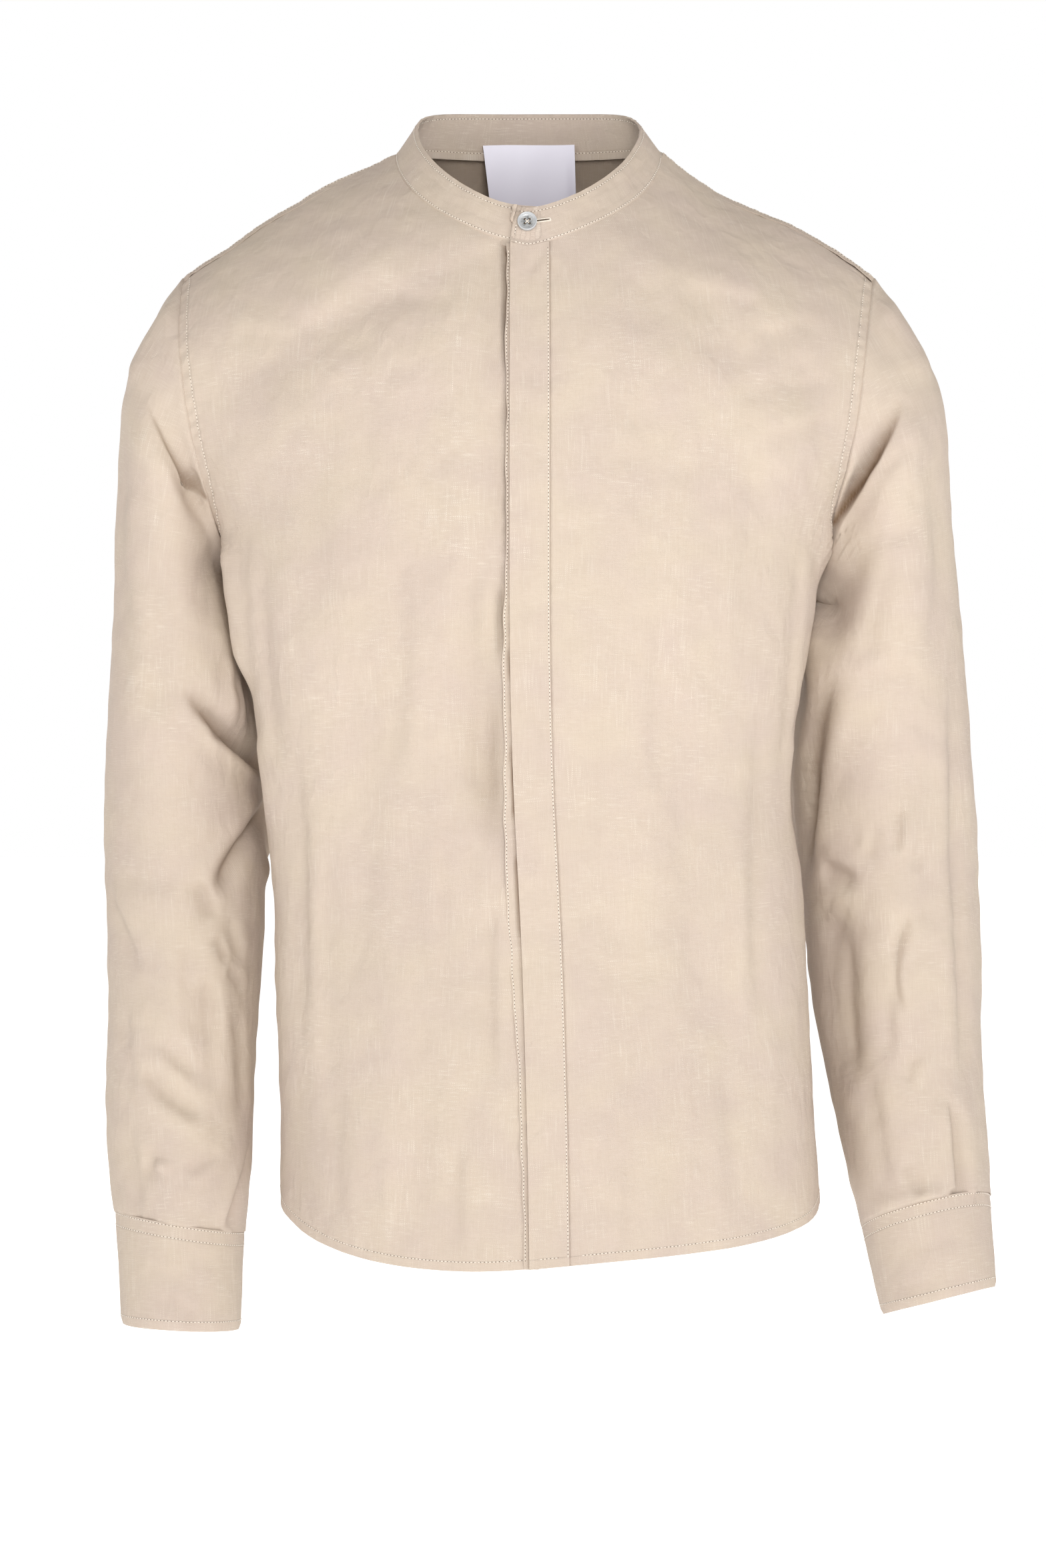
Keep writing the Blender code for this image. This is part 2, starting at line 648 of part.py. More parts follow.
def make_sleeve(name, arm, side, sections, folds):
    """One sleeve, from its armhole to its cuff, with its slit behind the arm."""
    last = len(sections["x"])
    levels = np.concatenate(
        [np.linspace(0, 2, SLEEVE_STEPS[0] + 1), np.linspace(2, last, SLEEVE_STEPS[1] + 1)[1:]]
    )
    shares = arm_shares()
    around = (shares - SMALL, shares, shares + SMALL)
    starts = [sleeve_start(side, turned) for turned in around]
    grid, facing = [], []
    for level in levels:
        before, here, after = (
            sleeve_line(sections, turned, level, side, *start) for turned, start in zip(around, starts)
        )
        low, high = (
            sleeve_line(sections, shares, min(max(level + step, 0), last), side, *starts[1])
            for step in (-SMALL, SMALL)
        )
        grid.append(here)
        facing.append(unit(np.cross(high - low, after - before)) * -side)
    grid, facing = np.array(grid), np.array(facing)
    grid[:, -1], facing[:, -1] = grid[:, 0], facing[:, 0]
    down = np.cumsum(np.linalg.norm(np.diff(grid, axis=0, prepend=grid[:1]), axis=-1), axis=0)
    to_cuff = down[-1] - down
    girth = 2 * math.pi * sections["width"][-1]
    press = fold_depth(grid, folds, -facing[..., 1]) * ease(down / FOLD_FADE) * ease(to_cuff / FOLD_FADE)
    grid = grid + (pleat_rise(arm, shares, to_cuff, girth) - press)[..., None] * facing
    grid = trimmed(grid, first_row=SEAM, last_row=SEAM)
    for row in np.flatnonzero(to_cuff[:, 0] < SLIT_LENGTH):
        for edge, beside in ((0, 1), (-1, -2)):
            grid[row, edge] += SLIT_WIDTH / 2 * unit(grid[row, beside] - grid[row, edge])
    return wall(name, [(grid, facing)], CLOTH, LINEN)


def make_cuff(name, arm, side, sections):
    """A cuff whose two ends overlap below the sleeve's slit. Returns it and its button's place."""
    shares = SLIT + np.linspace(0, 1 + CUFF_OVERLAP, CUFF_COLUMNS + 1)
    top = section([column[-1] for column in sections.values()], shares, side, -CUFF_TOP_EASE)
    hem = section([column[arm] for column in CUFF_HEMS.values()], shares, side)
    rows = np.linspace(0, 1, CUFF_ROWS + 1)[:, None, None]
    grid = top + rows * (hem - top)
    facing = unit(np.cross(np.gradient(grid, axis=0), np.gradient(grid, axis=1))) * -side
    over = ease((shares - SLIT - 1) / CUFF_OVERLAP + 1)
    grid = grid + ((BAND_CLOTH + SEAM) * over)[None, :, None] * facing
    wall(name, [(grid, facing)], BAND_CLOTH, LINEN)
    spot = (CUFF_ROWS // 2, CUFF_BUTTON_COLUMN)
    return grid[spot], facing[spot]


def make_band():
    """The collar band, from the end that lies on top round the neck to the end under it."""
    rows = [row for row in (*FRONT_ROWS, *BACK_ROWS[1:]) if NECK_ROW <= row <= NAPE_ROW]
    left = [neck_turn(row, -PLACKET_LEFT) for row in rows]
    right = [360 - neck_turn(row, UNDERLAP) for row in rows[-2::-1]]
    grid = []
    for height in np.linspace(0, 1, BAND_ROWS + 1):
        first = BAND_OVER_END + BAND_OVER_LEAN * height**2
        turns = np.array([first, *PLACKET_TURNS[:-1], *left, *right, BAND_UNDER_END])
        seam, top = (np.array([neck(turn, edge) for turn in turns]) for edge in ("seam", "top"))
        line = seam + height * (top - seam)
        line[:, 1] += tuck(line[:, 0]) * (turns > RIGHT_SIDE_TURN)
        grid.append(line)
    grid = trimmed(np.array(grid), first_row=SEAM)
    facing = unit(np.cross(np.gradient(grid, axis=1), np.gradient(grid, axis=0)))
    wall("collar_band", [(grid, facing)], BAND_CLOTH, LINEN)


def band_spot(turn, height):
    """A point on the band's outside and the direction that it faces."""
    seam, top = neck(turn, "seam"), neck(turn, "top")
    beside = neck(turn + 2, "seam") - neck(turn - 2, "seam")
    return seam + height * (top - seam), unit(np.cross(beside, top - seam))


def make_label():
    """The woven label, which hangs from the band's seam inside the back of the neck."""
    x, drop = np.meshgrid(np.linspace(-0.5, 0.5, LABEL_COLUMNS + 1), np.linspace(0, 1, LABEL_ROWS + 1))
    y = LABEL_Y - LABEL_BOW * (2 * x) ** 2 - LABEL_SWING * drop
    grid = np.stack([LABEL_WIDTH * x, y, LABEL_TOP - LABEL_HEIGHT * drop], axis=-1)
    facing = unit(np.cross(np.gradient(grid, axis=0), np.gradient(grid, axis=1)))
    facing *= -np.sign(facing[..., 1:2])
    wall("label", [(grid, facing)], LABEL_CLOTH, SATIN)


def button_mesh():
    """A turned button with a raised rim, a dished face and four thread holes."""
    mesh = bmesh.new()
    profile = [mesh.verts.new((x * MM, 0, z * MM)) for x, z in zip(*BUTTON_PROFILE.values())]
    edges = [mesh.edges.new(pair) for pair in zip(profile, profile[1:])]
    bmesh.ops.spin(
        mesh,
        geom=profile + edges,
        axis=(0, 0, 1),
        cent=(0, 0, 0),
        steps=BUTTON_SIDES,
        angle=2 * math.pi,
    )
    bmesh.ops.remove_doubles(mesh, verts=mesh.verts[:], dist=1e-6)
    bmesh.ops.recalc_face_normals(mesh, faces=mesh.faces[:])
    data = bpy.data.meshes.new("button")
    mesh.to_mesh(data)
    mesh.free()
    return data


def hole_cutter(matrix):
    """Four pegs where the button's thread holes are, which only cut."""
    mesh = bmesh.new()
    for x, y in ((1, 1), (-1, 1), (-1, -1), (1, -1)):
        peg = bmesh.ops.create_cone(
            mesh,
            cap_ends=True,
            segments=HOLE_SIDES,
            radius1=HOLE_RADIUS * MM,
            radius2=HOLE_RADIUS * MM,
            depth=PEG_LENGTH * MM,
        )
        place_at = Vector((x, y, 0)) * (HOLE_PITCH / 2 * MM)
        bmesh.ops.translate(mesh, verts=peg["verts"], vec=place_at)
    data = bpy.data.meshes.new("holes")
    mesh.to_mesh(data)
    mesh.free()
    cutter = bpy.data.objects.new("holes", data)
    bpy.context.scene.collection.objects.link(cutter)
    cutter.hide_render = True
    cutter.display_type = "WIRE"
    cutter.matrix_world = matrix
    return cutter


def make_button(name, data, spot, facing, lift=SEAM):
    """A button that sits on the cloth at a spot and faces this way."""
    piece = place(name, data.copy(), HORN)
    turn = Vector(facing).to_track_quat("Z", "Y")
    matrix = Matrix.Translation(Vector((spot + lift * facing) * MM)) @ turn.to_matrix().to_4x4()
    piece.matrix_world = matrix
    cut = piece.modifiers.new("thread holes", "BOOLEAN")
    cut.object = hole_cutter(matrix)
    return piece


for item in list(bpy.data.objects):
    bpy.data.objects.remove(item, do_unlink=True)

LINEN = material("linen", (0.63, 0.50, 0.37, 1.0), 0.9)
SATIN = material("satin", (0.82, 0.82, 0.86, 1.0), 0.45)
HORN = material("grey horn", (0.33, 0.34, 0.34, 1.0), 0.35)

make_front("front_right", -1, UNDERLAP)
make_front("front_left", 1, -PLACKET_LEFT)
make_placket()
make_back()
make_sleeve("sleeve_right", 0, -1, RIGHT_SLEEVE, RIGHT_SLEEVE_FOLDS)
make_sleeve("sleeve_left", 1, 1, LEFT_SLEEVE, LEFT_SLEEVE_FOLDS)
right_spot = make_cuff("cuff_right", 0, -1, RIGHT_SLEEVE)
left_spot = make_cuff("cuff_left", 1, 1, LEFT_SLEEVE)
make_band()
make_label()
button = button_mesh()
make_button("collar_button", button, *band_spot(BUTTON_TURN, BUTTON_HEIGHT))
make_button("cuff_button_right", button, *right_spot, lift=CUFF_BUTTON_LIFT)
make_button("cuff_button_left", button, *left_spot, lift=CUFF_BUTTON_LIFT)
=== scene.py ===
import math

import bmesh
import bpy
import numpy as np
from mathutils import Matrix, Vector
from mathutils.bvhtree import BVHTree


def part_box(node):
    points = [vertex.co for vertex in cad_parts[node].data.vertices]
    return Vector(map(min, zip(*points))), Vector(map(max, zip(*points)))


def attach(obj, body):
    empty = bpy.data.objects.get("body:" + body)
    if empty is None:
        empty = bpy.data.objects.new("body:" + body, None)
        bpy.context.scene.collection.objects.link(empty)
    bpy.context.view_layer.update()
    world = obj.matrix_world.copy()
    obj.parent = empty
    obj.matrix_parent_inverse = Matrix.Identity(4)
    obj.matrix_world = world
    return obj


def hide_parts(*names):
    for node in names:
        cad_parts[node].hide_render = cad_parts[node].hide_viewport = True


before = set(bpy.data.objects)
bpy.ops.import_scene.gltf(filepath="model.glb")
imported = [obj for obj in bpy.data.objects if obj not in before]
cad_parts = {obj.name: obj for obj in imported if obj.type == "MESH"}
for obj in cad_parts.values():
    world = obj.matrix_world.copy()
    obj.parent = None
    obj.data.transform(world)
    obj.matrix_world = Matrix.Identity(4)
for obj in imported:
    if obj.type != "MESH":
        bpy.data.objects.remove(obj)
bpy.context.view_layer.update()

# --- Studio -----------------------------------------------------------------------------------------
# The shirt hangs filled out above a pale floor in a white room, as if someone wore it. A large soft
# lamp stands in front of it, weaker ones at its sides and behind it, and the room lights it evenly.

VIEW_WIDTH = 0.68992     # metres across the picture at the shirt
CAMERA_AWAY = 3.0
CAMERA_X = -0.0035
CAMERA_Z = -0.4158


def add_object(name, data):
    thing = bpy.data.objects.new(name, data)
    bpy.context.scene.collection.objects.link(thing)
    return thing


def new_material(name):
    """A material, its node tree and its shader."""
    material = bpy.data.materials.new(name)
    material.use_nodes = True
    return material, material.node_tree, material.node_tree.nodes["Principled BSDF"]


camera = add_object("camera", bpy.data.cameras.new("camera"))
camera.data.sensor_fit = "HORIZONTAL"
camera.data.sensor_width = 36.0
camera.data.lens = camera.data.sensor_width * CAMERA_AWAY / VIEW_WIDTH
camera.location = (CAMERA_X, -CAMERA_AWAY, CAMERA_Z)
camera.rotation_euler = (math.pi / 2, 0, 0)
bpy.context.scene.camera = camera
bpy.context.scene.view_settings.view_transform = "Standard"

FLOOR_Z = -0.95
FLOOR_SIZE = 60.0
PAPER_WHITE = (0.93, 0.93, 0.93, 1.0)
PAPER_GLOW = 0.8
bpy.ops.object.select_all(action="DESELECT")
bpy.ops.mesh.primitive_plane_add(size=FLOOR_SIZE, location=(0, 0, FLOOR_Z))
paper = bpy.context.object
paper.name = "paper_floor"
paper_white, tree, shader = new_material("white paper")
shader.inputs["Base Color"].default_value = PAPER_WHITE
shader.inputs["Roughness"].default_value = 0.9
shader.inputs["Emission Color"].default_value = (1.0, 1.0, 1.0, 1.0)
shader.inputs["Emission Strength"].default_value = PAPER_GLOW
paper.data.materials.append(paper_white)

LAMPS = (
    # name, place, size in metres, watts
    ("left", (-2.5, -2.0, -0.2), 1.2, 13.0),
    ("right", (2.5, -1.9, -0.1), 1.2, 15.0),
    ("front", (0.4, -3.4, 0.55), 1.1, 58.0),
    ("back", (-1.6, 3.0, 0.6), 1.5, 30.0),
)
LAMP_AIM = Vector((0, 0, -0.4))
for name, place, size, watts in LAMPS:
    lamp = add_object(name, bpy.data.lights.new(name, "AREA"))
    lamp.data.size = size
    lamp.data.energy = watts
    lamp.location = place
    lamp.rotation_euler = (LAMP_AIM - Vector(place)).to_track_quat("-Z", "Y").to_euler()

ROOM_LIGHT = 0.45
ROOM_COLOUR = (1.0, 0.97, 0.93, 1.0)
room = bpy.data.worlds.new("room")
room.use_nodes = True
tree = room.node_tree
walls = tree.nodes["Background"]
walls.inputs["Color"].default_value = ROOM_COLOUR
walls.inputs["Strength"].default_value = ROOM_LIGHT
seen = tree.nodes.new("ShaderNodeBackground")
seen.inputs["Color"].default_value = (1.0, 1.0, 1.0, 1.0)
path = tree.nodes.new("ShaderNodeLightPath")
both = tree.nodes.new("ShaderNodeMixShader")
tree.links.new(path.outputs["Is Camera Ray"], both.inputs["Fac"])
tree.links.new(walls.outputs["Background"], both.inputs[1])
tree.links.new(seen.outputs["Background"], both.inputs[2])
tree.links.new(both.outputs["Shader"], tree.nodes["World Output"].inputs["Surface"])
bpy.context.scene.world = room

# --- Back -------------------------------------------------------------------------------------------
# One piece of sand-coloured linen from side seam to side seam and from the neck to a curved hem. The
# hem is turned up twice and stitched, the armholes and side seams are felled and stitched flat.

MM = 0.001
WELD = 2e-5
RIM = 2.4 * MM           # only the faces along a wall's edge have a side shorter than this
LINEN_THICK = 0.7 * MM
CORNER = math.radians(32)
FLAT_JOIN = math.radians(60)
SQUARE_JOIN = math.radians(75)
ARMHOLE_ABOVE = -0.5     # a sleeve's edge that is higher than this is its armhole


def ease(share):
    share = np.clip(share, 0.0, 1.0)
    return share * share * (3.0 - 2.0 * share)


def read_points(piece, what="co"):
    values = np.empty(3 * len(piece.data.vertices))
    piece.data.vertices.foreach_get(what, values)
    return values.reshape(-1, 3)


def read_normals(piece):
    return read_points(piece, "normal")


def write_points(piece, points):
    piece.data.vertices.foreach_set("co", points.ravel())
    piece.data.update()


def read_mark(piece, name):
    """A number for each point, kept on the mesh under this name, or zeros."""
    values = np.zeros(len(piece.data.vertices))
    if name in piece.data.attributes:
        piece.data.attributes[name].data.foreach_get("value", values)
    return values


def write_mark(piece, name, values):
    marks = piece.data.attributes
    mark = marks[name] if name in marks else marks.new(name, "FLOAT", "POINT")
    mark.data.foreach_set("value", values)


def unit(rows):
    return rows / np.linalg.norm(rows, axis=1, keepdims=True)


def headings(line):
    return unit(np.gradient(line, axis=0))


def lengths(line):
    """How far along a line each of its points is."""
    return np.concatenate([[0], np.cumsum(np.linalg.norm(np.diff(line, axis=0), axis=1))])


def close_to(points, line, room):
    """The numbers of the points that lie in the box round a line, with this much room."""
    inside = (points > line.min(axis=0) - room) & (points < line.max(axis=0) + room)
    return np.flatnonzero(np.all(inside, axis=1))


def pick(piece):
    bpy.ops.object.select_all(action="DESELECT")
    piece.select_set(True)
    bpy.context.view_layer.objects.active = piece


def give_wall(piece, thickness):
    """Gives a sheet its thickness, on its inner side."""
    wall = piece.modifiers.new("thickness", "SOLIDIFY")
    wall.thickness = thickness
    wall.offset = -1.0
    pick(piece)
    bpy.ops.object.modifier_apply(modifier=wall.name)


def outer_skin(node, levels, cut_open=False, strip_along=None):
    """The outer side of a cloth solid as a smooth sheet. Its UV map is its cut, laid flat, in metres.

    cut_open says that it is a tube, which is slit down its inner side before it is laid flat, and
    strip_along is a point on the edge that a bent strip is straightened by.
    """
    mesh = bmesh.new()
    mesh.from_mesh(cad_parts[node].data)
    bmesh.ops.remove_doubles(mesh, verts=mesh.verts[:], dist=WELD)
    rims = [face for face in mesh.faces if min(edge.calc_length() for edge in face.edges) < RIM]
    bmesh.ops.delete(mesh, geom=rims, context="FACES")
    skins, left = [], set(mesh.faces)
    while left:
        skin, queue = set(), [left.pop()]
        while queue:
            face = queue.pop()
            skin.add(face)
            near = {other for edge in face.edges for other in edge.link_faces} & left
            left -= near
            queue.extend(near)
        skins.append(skin)
    kept = max(skins, key=lambda skin: sum(face.calc_area() for face in skin))
    inner = [face for face in mesh.faces if face not in kept]
    bmesh.ops.delete(mesh, geom=inner, context="FACES")
    bmesh.ops.join_triangles(
        mesh, faces=mesh.faces[:], angle_face_threshold=FLAT_JOIN, angle_shape_threshold=SQUARE_JOIN
    )
    if cut_open:
        armhole = [v for v in mesh.verts if v.is_boundary and v.co.z > ARMHOLE_ABOVE]
        at = min(armhole, key=lambda v: v.co.z)
        while True:
            down = [e for e in at.link_edges if not e.is_boundary and e.other_vert(at).co.z < at.co.z]
            if not down:
                break
            edge = min(down, key=lambda e: (e.other_vert(at).co.z - at.co.z) / e.calc_length())
            edge.seam = True
            at = edge.other_vert(at)
    crisp = mesh.verts.layers.float.new("crease_vert")
    for vert in mesh.verts:
        rim = [edge.other_vert(vert).co - vert.co for edge in vert.link_edges if edge.is_boundary]
        if len(rim) == 2 and rim[0].angle(rim[1]) < math.pi - CORNER:
            vert[crisp] = 1.0
    data = bpy.data.meshes.new(node + "_cloth")
    mesh.to_mesh(data)
    mesh.free()
    piece = add_object(node + "_cloth", data)
    pick(piece)
    data.uv_layers.new(name="cut")
    bpy.ops.object.mode_set(mode="EDIT")
    bpy.ops.mesh.select_all(action="SELECT")
    bpy.ops.uv.unwrap(method="ANGLE_BASED", margin=0.0)
    bpy.ops.object.mode_set(mode="OBJECT")
    smooth = piece.modifiers.new("smooth", "SUBSURF")
    smooth.levels = smooth.render_levels = levels
    smooth.boundary_smooth = "PRESERVE_CORNERS"
    bpy.ops.object.modifier_apply(modifier=smooth.name)
    if strip_along:
        lay_strip(piece, strip_along)
    else:
        lay_straight(piece)
    return piece


def write_cut(data, flat):
    """Gives every face corner its point's place in the flat cut."""
    corners = np.empty(len(data.loops), int)
    data.loops.foreach_get("vertex_index", corners)
    data.uv_layers["cut"].data.foreach_set("uv", flat[corners].ravel())


def lay_strip(piece, spot):
    """Lays a bent strip flat: along the edge near this point, and up from it."""
    points = read_points(piece)
    line = points[nearest_run(piece, edges_of(piece), spot)]
    apart = np.linalg.norm(points[:, None] - line, axis=2)
    flat = np.stack([lengths(line)[apart.argmin(axis=1)], apart.min(axis=1)], axis=1)
    write_cut(piece.data, flat)
    piece["area"] = sum(face.area for face in piece.data.polygons)
    piece["flat"] = list(flat.max(axis=0))


def lay_straight(piece):
    """Turns the flat cut so that its grain runs up the shirt, and scales it to metres."""
    data = piece.data
    points = read_points(piece)
    corners = np.empty(len(data.loops), int)
    data.loops.foreach_get("vertex_index", corners)
    flat = np.empty(2 * len(data.loops))
    data.uv_layers["cut"].data.foreach_get("uv", flat)
    flat = flat.reshape(-1, 2)
    flat -= flat.mean(axis=0)
    rise = np.linalg.lstsq(flat, points[corners, 2] - points[corners, 2].mean(), rcond=None)[0]
    up = rise / np.linalg.norm(rise)
    flat = flat @ np.array(((up[1], up[0]), (-up[0], up[1])))
    sides = []
    for face in data.polygons:
        loop = flat[face.loop_start : face.loop_start + face.loop_total]
        beside = np.roll(loop, -1, axis=0)
        sides.append(abs(np.sum(loop[:, 0] * beside[:, 1] - loop[:, 1] * beside[:, 0])) / 2)
    area = sum(face.area for face in data.polygons)
    flat *= math.sqrt(area / sum(sides))
    data.uv_layers["cut"].data.foreach_set("uv", flat.ravel())
    piece["area"] = area
    piece["flat"] = list(flat.max(axis=0) - flat.min(axis=0))


def tree_of(piece):
    data = piece.data
    return BVHTree.FromPolygons([v.co[:] for v in data.vertices], [f.vertices[:] for f in data.polygons])


def waver(points, length, seed, waves=9):
    """A smooth uneven value from about -1 to 1 at each point, with waves of about this length."""
    random = np.random.default_rng(seed)
    total = np.zeros(len(points))
    for _ in range(waves):
        way = random.normal(size=3)
        way /= np.linalg.norm(way)
        reach = length * random.uniform(0.6, 1.7)
        total += np.sin(points @ way * (2 * math.pi / reach) + random.uniform(0, 2 * math.pi))
    return total / math.sqrt(waves)


# Painted shade: the next three numbers set how dark the bottom of a fold is painted, towards a dark brown.
DEEP_FOLD = 1.25         # depth over width at which no light reaches the bottom of a fold
CORE_SIDE = 0.45         # how far to its high side the darkest line lies, in half widths
CORE_LOW = 1.4           # how much faster the dark fades on the low side
CREASE_STEPS = 40
CREASE_ROOM = 4          # half widths beyond which a fold moves nothing
CREASE_FADES = (0.25, 0.25)
NEAR_BANK = (0.6, 0.8)   # the middle and reach of the bank on the high side, in half widths
FAR_BANK = (0.3, 1.9, 1.1)    # share of the near one, middle and reach on the low side


def crease(piece, rows, face, held=1.0):
    """Presses soft folds into a sheet, seen from the front (face -1) or from behind (face 1).

    A row has its start, middle and end (x and z in mm), its half width and depth, how high the cloth
    stands up beside it, and the share of the width in which it drops from there. The high side is on
    the left of the line as it runs, or on its right where the bank is negative. A row may end with
    the shares of its length over which it fades in and out. held is the share of every fold that
    each point takes.
    """
    points, normals, tree = read_points(piece), read_normals(piece), tree_of(piece)
    push, painted_shade = np.zeros(len(points)), read_mark(piece, "painted_shade")
    for x, z, x2, z2, x3, z3, width, depth, bank, drop, *fades in rows:
        share = np.linspace(0, 1, CREASE_STEPS)[:, None]
        start, middle, end = (np.array(spot, float) for spot in ((x, z), (x2, z2), (x3, z3)))
        pull = 2 * middle - (start + end) / 2
        line = (1 - share) ** 2 * start + 2 * share * (1 - share) * pull + share**2 * end
        hits = [tree.ray_cast(Vector((a * MM, face, b * MM)), Vector((0, -face, 0))) for a, b in line]
        fade_in, fade_out = fades or CREASE_FADES
        fade = ease(share[:, 0] / fade_in) * ease((1 - share[:, 0]) / fade_out)
        seen = [(hit[0], hit[1], part) for hit, part in zip(hits, fade) if hit[0] is not None]
        if len(seen) < 3:
            continue
        spots, facing, fade = (np.array(column) for column in zip(*seen))
        left = np.cross(facing, headings(spots))
        near = close_to(points, spots, CREASE_ROOM * width * MM)
        off = points[near, None] - spots
        apart = np.linalg.norm(off, axis=2)
        close = apart.argmin(axis=1)
        each = np.arange(len(near))
        lean = -1.0 if bank < 0 else 1.0
        side = lean * np.sum(off[each, close] * left[close], axis=1) / (width * MM)
        beyond = np.maximum((apart[each, close] / (width * MM)) ** 2 - side**2, 0)
        steep = np.where(side > 0, side / drop, side)
        trough = np.exp(-(steep**2) - beyond)
        banks = np.exp(-(((side - NEAR_BANK[0] - drop) / NEAR_BANK[1]) ** 2) - beyond)
        banks += FAR_BANK[0] * np.exp(-(((side + FAR_BANK[1]) / FAR_BANK[2]) ** 2) - beyond)
        push[near] += (abs(bank) * banks - depth * trough) * fade[close] * MM
        # Painted shade: a dark line along the bottom of the fold, kept as a mark on its points, darker
        # where the fold is deep for its width.
        core = np.exp(-((np.where(side > 0, side / drop, CORE_LOW * side) - CORE_SIDE) ** 2) - beyond)
        dark = min(max(depth, 0.0) / width / DEEP_FOLD, 1.0) ** 2 * core * fade[close]
        painted_shade[near] = np.maximum(painted_shade[near], dark)
    write_points(piece, points + (push * held)[:, None] * normals)
    write_mark(piece, "painted_shade", painted_shade)


def edges_of(piece):
    """The sheet's outline as runs between its corners, each with its points in order."""
    data = piece.data
    directed = {}            # used as a set that keeps its order
    for face in data.polygons:
        ring = face.vertices[:]
        directed.update(dict.fromkeys(zip(ring, ring[1:] + ring[:1])))
    following = {a: b for a, b in directed if (b, a) not in directed}
    runs = []
    while following:
        start = next(iter(following))
        loop = [start]
        while loop[-1] in following:
            loop.append(following.pop(loop[-1]))
        loop = loop[:-1]
        spots = np.array([data.vertices[i].co for i in loop])
        ahead = unit(np.roll(spots, -1, axis=0) - spots)
        turn = np.arccos(np.clip(np.sum(ahead * np.roll(ahead, 1, axis=0), axis=1), -1, 1))
        corners = np.flatnonzero(turn > CORNER)
        if not len(corners):
            runs.append(np.array(loop + loop[:1]))
            continue
        loop = loop[corners[0] :] + loop[: corners[0] + 1]
        cuts = [*(corners - corners[0]), len(loop) - 1]
        runs += [np.array(loop[a : b + 1]) for a, b in zip(cuts, cuts[1:])]
    return runs


def nearest_run(piece, runs, spot):
    points = read_points(piece)
    return min(runs, key=lambda run: np.linalg.norm(points[run] - np.array(spot) * MM, axis=1).min())


CLOSED = 1e-6            # a line whose ends are no further apart is a ring


def beside(piece, run, inset):
    """A line on the sheet at this distance in from a run of its outline, as points and normals."""
    line, facing, tree = read_points(piece)[run], read_normals(piece)[run], tree_of(piece)
    aim = line + inset * MM * np.cross(facing, headings(line))
    passed = lengths(line)
    clear = (passed > inset * MM) & (passed < passed[-1] - inset * MM)
    if np.linalg.norm(line[0] - line[-1]) < CLOSED:
        clear[:] = True
    found = [tree.find_nearest(Vector(spot)) for spot in aim[clear]]
    return np.array([hit[0] for hit in found]), np.array([hit[1] for hit in found])


STITCH_PITCH = 2.4 * MM
STITCH_LENGTH = 1.75 * MM
STITCH_WIDE = 0.28 * MM  # half the thread's thickness
STITCH_PROUD = 0.25      # how far its middle lies above the cloth, in half thicknesses
# Painted shade: sizes of the dark discs that stand for the needle holes at the stitches' ends.
HOLE_WIDE = 0.26 * MM
HOLE_LONG = HOLE_WIDE * 1.3
HOLE_PROUD = 0.07 * MM
sewing = []


def sew(line, facing, through=0.0):
    """Lays a row of stitches along a line on the cloth, and on its inner side where through is given."""
    step = lengths(line)
    starts = np.arange(STITCH_PITCH / 2, step[-1] - STITCH_PITCH, STITCH_PITCH)
    if not len(starts):
        return

    def along(values, at):
        return np.stack([np.interp(at, step, values[:, axis]) for axis in range(3)], axis=1)

    ends = [along(line, starts), along(line, starts + STITCH_LENGTH)]
    normal = unit(along(facing, starts))
    sewing.append((*ends, normal))
    if through:
        sewing.append((ends[0] - through * normal, ends[1] - through * normal, -normal))


def disc(sides):
    turns = [math.radians(360 * i / sides) for i in range(sides)]
    return [(math.cos(turn), math.sin(turn), 0) for turn in turns]


def join_copies(name, form, faces, centres, axes, material):
    """One mesh with a copy of a small form at each centre. Its points are shares of the three axes."""
    form = np.array(form)
    points = centres[:, None] + sum(form[:, axis, None] * axes[axis][:, None] for axis in range(3))
    rows = [tuple(len(form) * i + corner for corner in face) for i in range(len(centres)) for face in faces]
    data = bpy.data.meshes.new(name)
    data.from_pydata(points.reshape(-1, 3), [], rows)
    piece = add_object(name, data)
    pick(piece)
    bpy.ops.object.shade_smooth()
    data.materials.append(material)
    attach(piece, "root")
    return piece


def make_stitches(name, with_hole_shade=True):
    """Joins the stitches laid so far: short round threads, each with a dark disc of painted shade at its
    end, where the needle went through.
    """
    starts, stops, normals = (np.concatenate([row[part] for row in sewing]) for part in range(3))
    sewing.clear()
    along = stops - starts
    across = unit(np.cross(normals, along))
    arch = ((1, 0), (0.6, 0.8), (-0.6, 0.8), (-1, 0))
    form = [(share, wide, high) for share in (-0.3, 0.3) for wide, high in arch]
    form += [(-0.5, 0, -0.5), (0.5, 0, -0.5)]
    faces = [(i, i + 4, i + 5, i + 1) for i in range(3)]
    faces += [(i, i + 1, 8) for i in range(3)] + [(i + 5, i + 4, 9) for i in range(3)]
    axes = (along, across * STITCH_WIDE, normals * STITCH_WIDE)
    middle = (starts + stops) / 2 + STITCH_PROUD * STITCH_WIDE * normals
    join_copies(name, form, faces, middle, axes, thread)
    if not with_hole_shade:
        return
    way = unit(along)
    axes = (way * HOLE_LONG, across * HOLE_WIDE, normals)
    gap = (STITCH_PITCH - STITCH_LENGTH) / 2
    centres = stops + gap * way + HOLE_PROUD * normals
    join_copies(name + "_holes", disc(6), [tuple(range(6))], centres, axes, shadow)


def distances(points, line):
    """How far each point is from a line, and how far along the line that is, in metres."""
    best = np.full(len(points), np.inf)
    along = np.zeros(len(points))
    for first, last, passed in zip(line, line[1:], lengths(line)):
        side = last - first
        share = np.clip((points - first) @ side / max(side @ side, 1e-12), 0, 1)
        apart = np.linalg.norm(points - first - share[:, None] * side, axis=1)
        closer = apart < best
        best[closer] = apart[closer]
        along[closer] = passed + share[closer] * math.sqrt(side @ side)
    return best, along


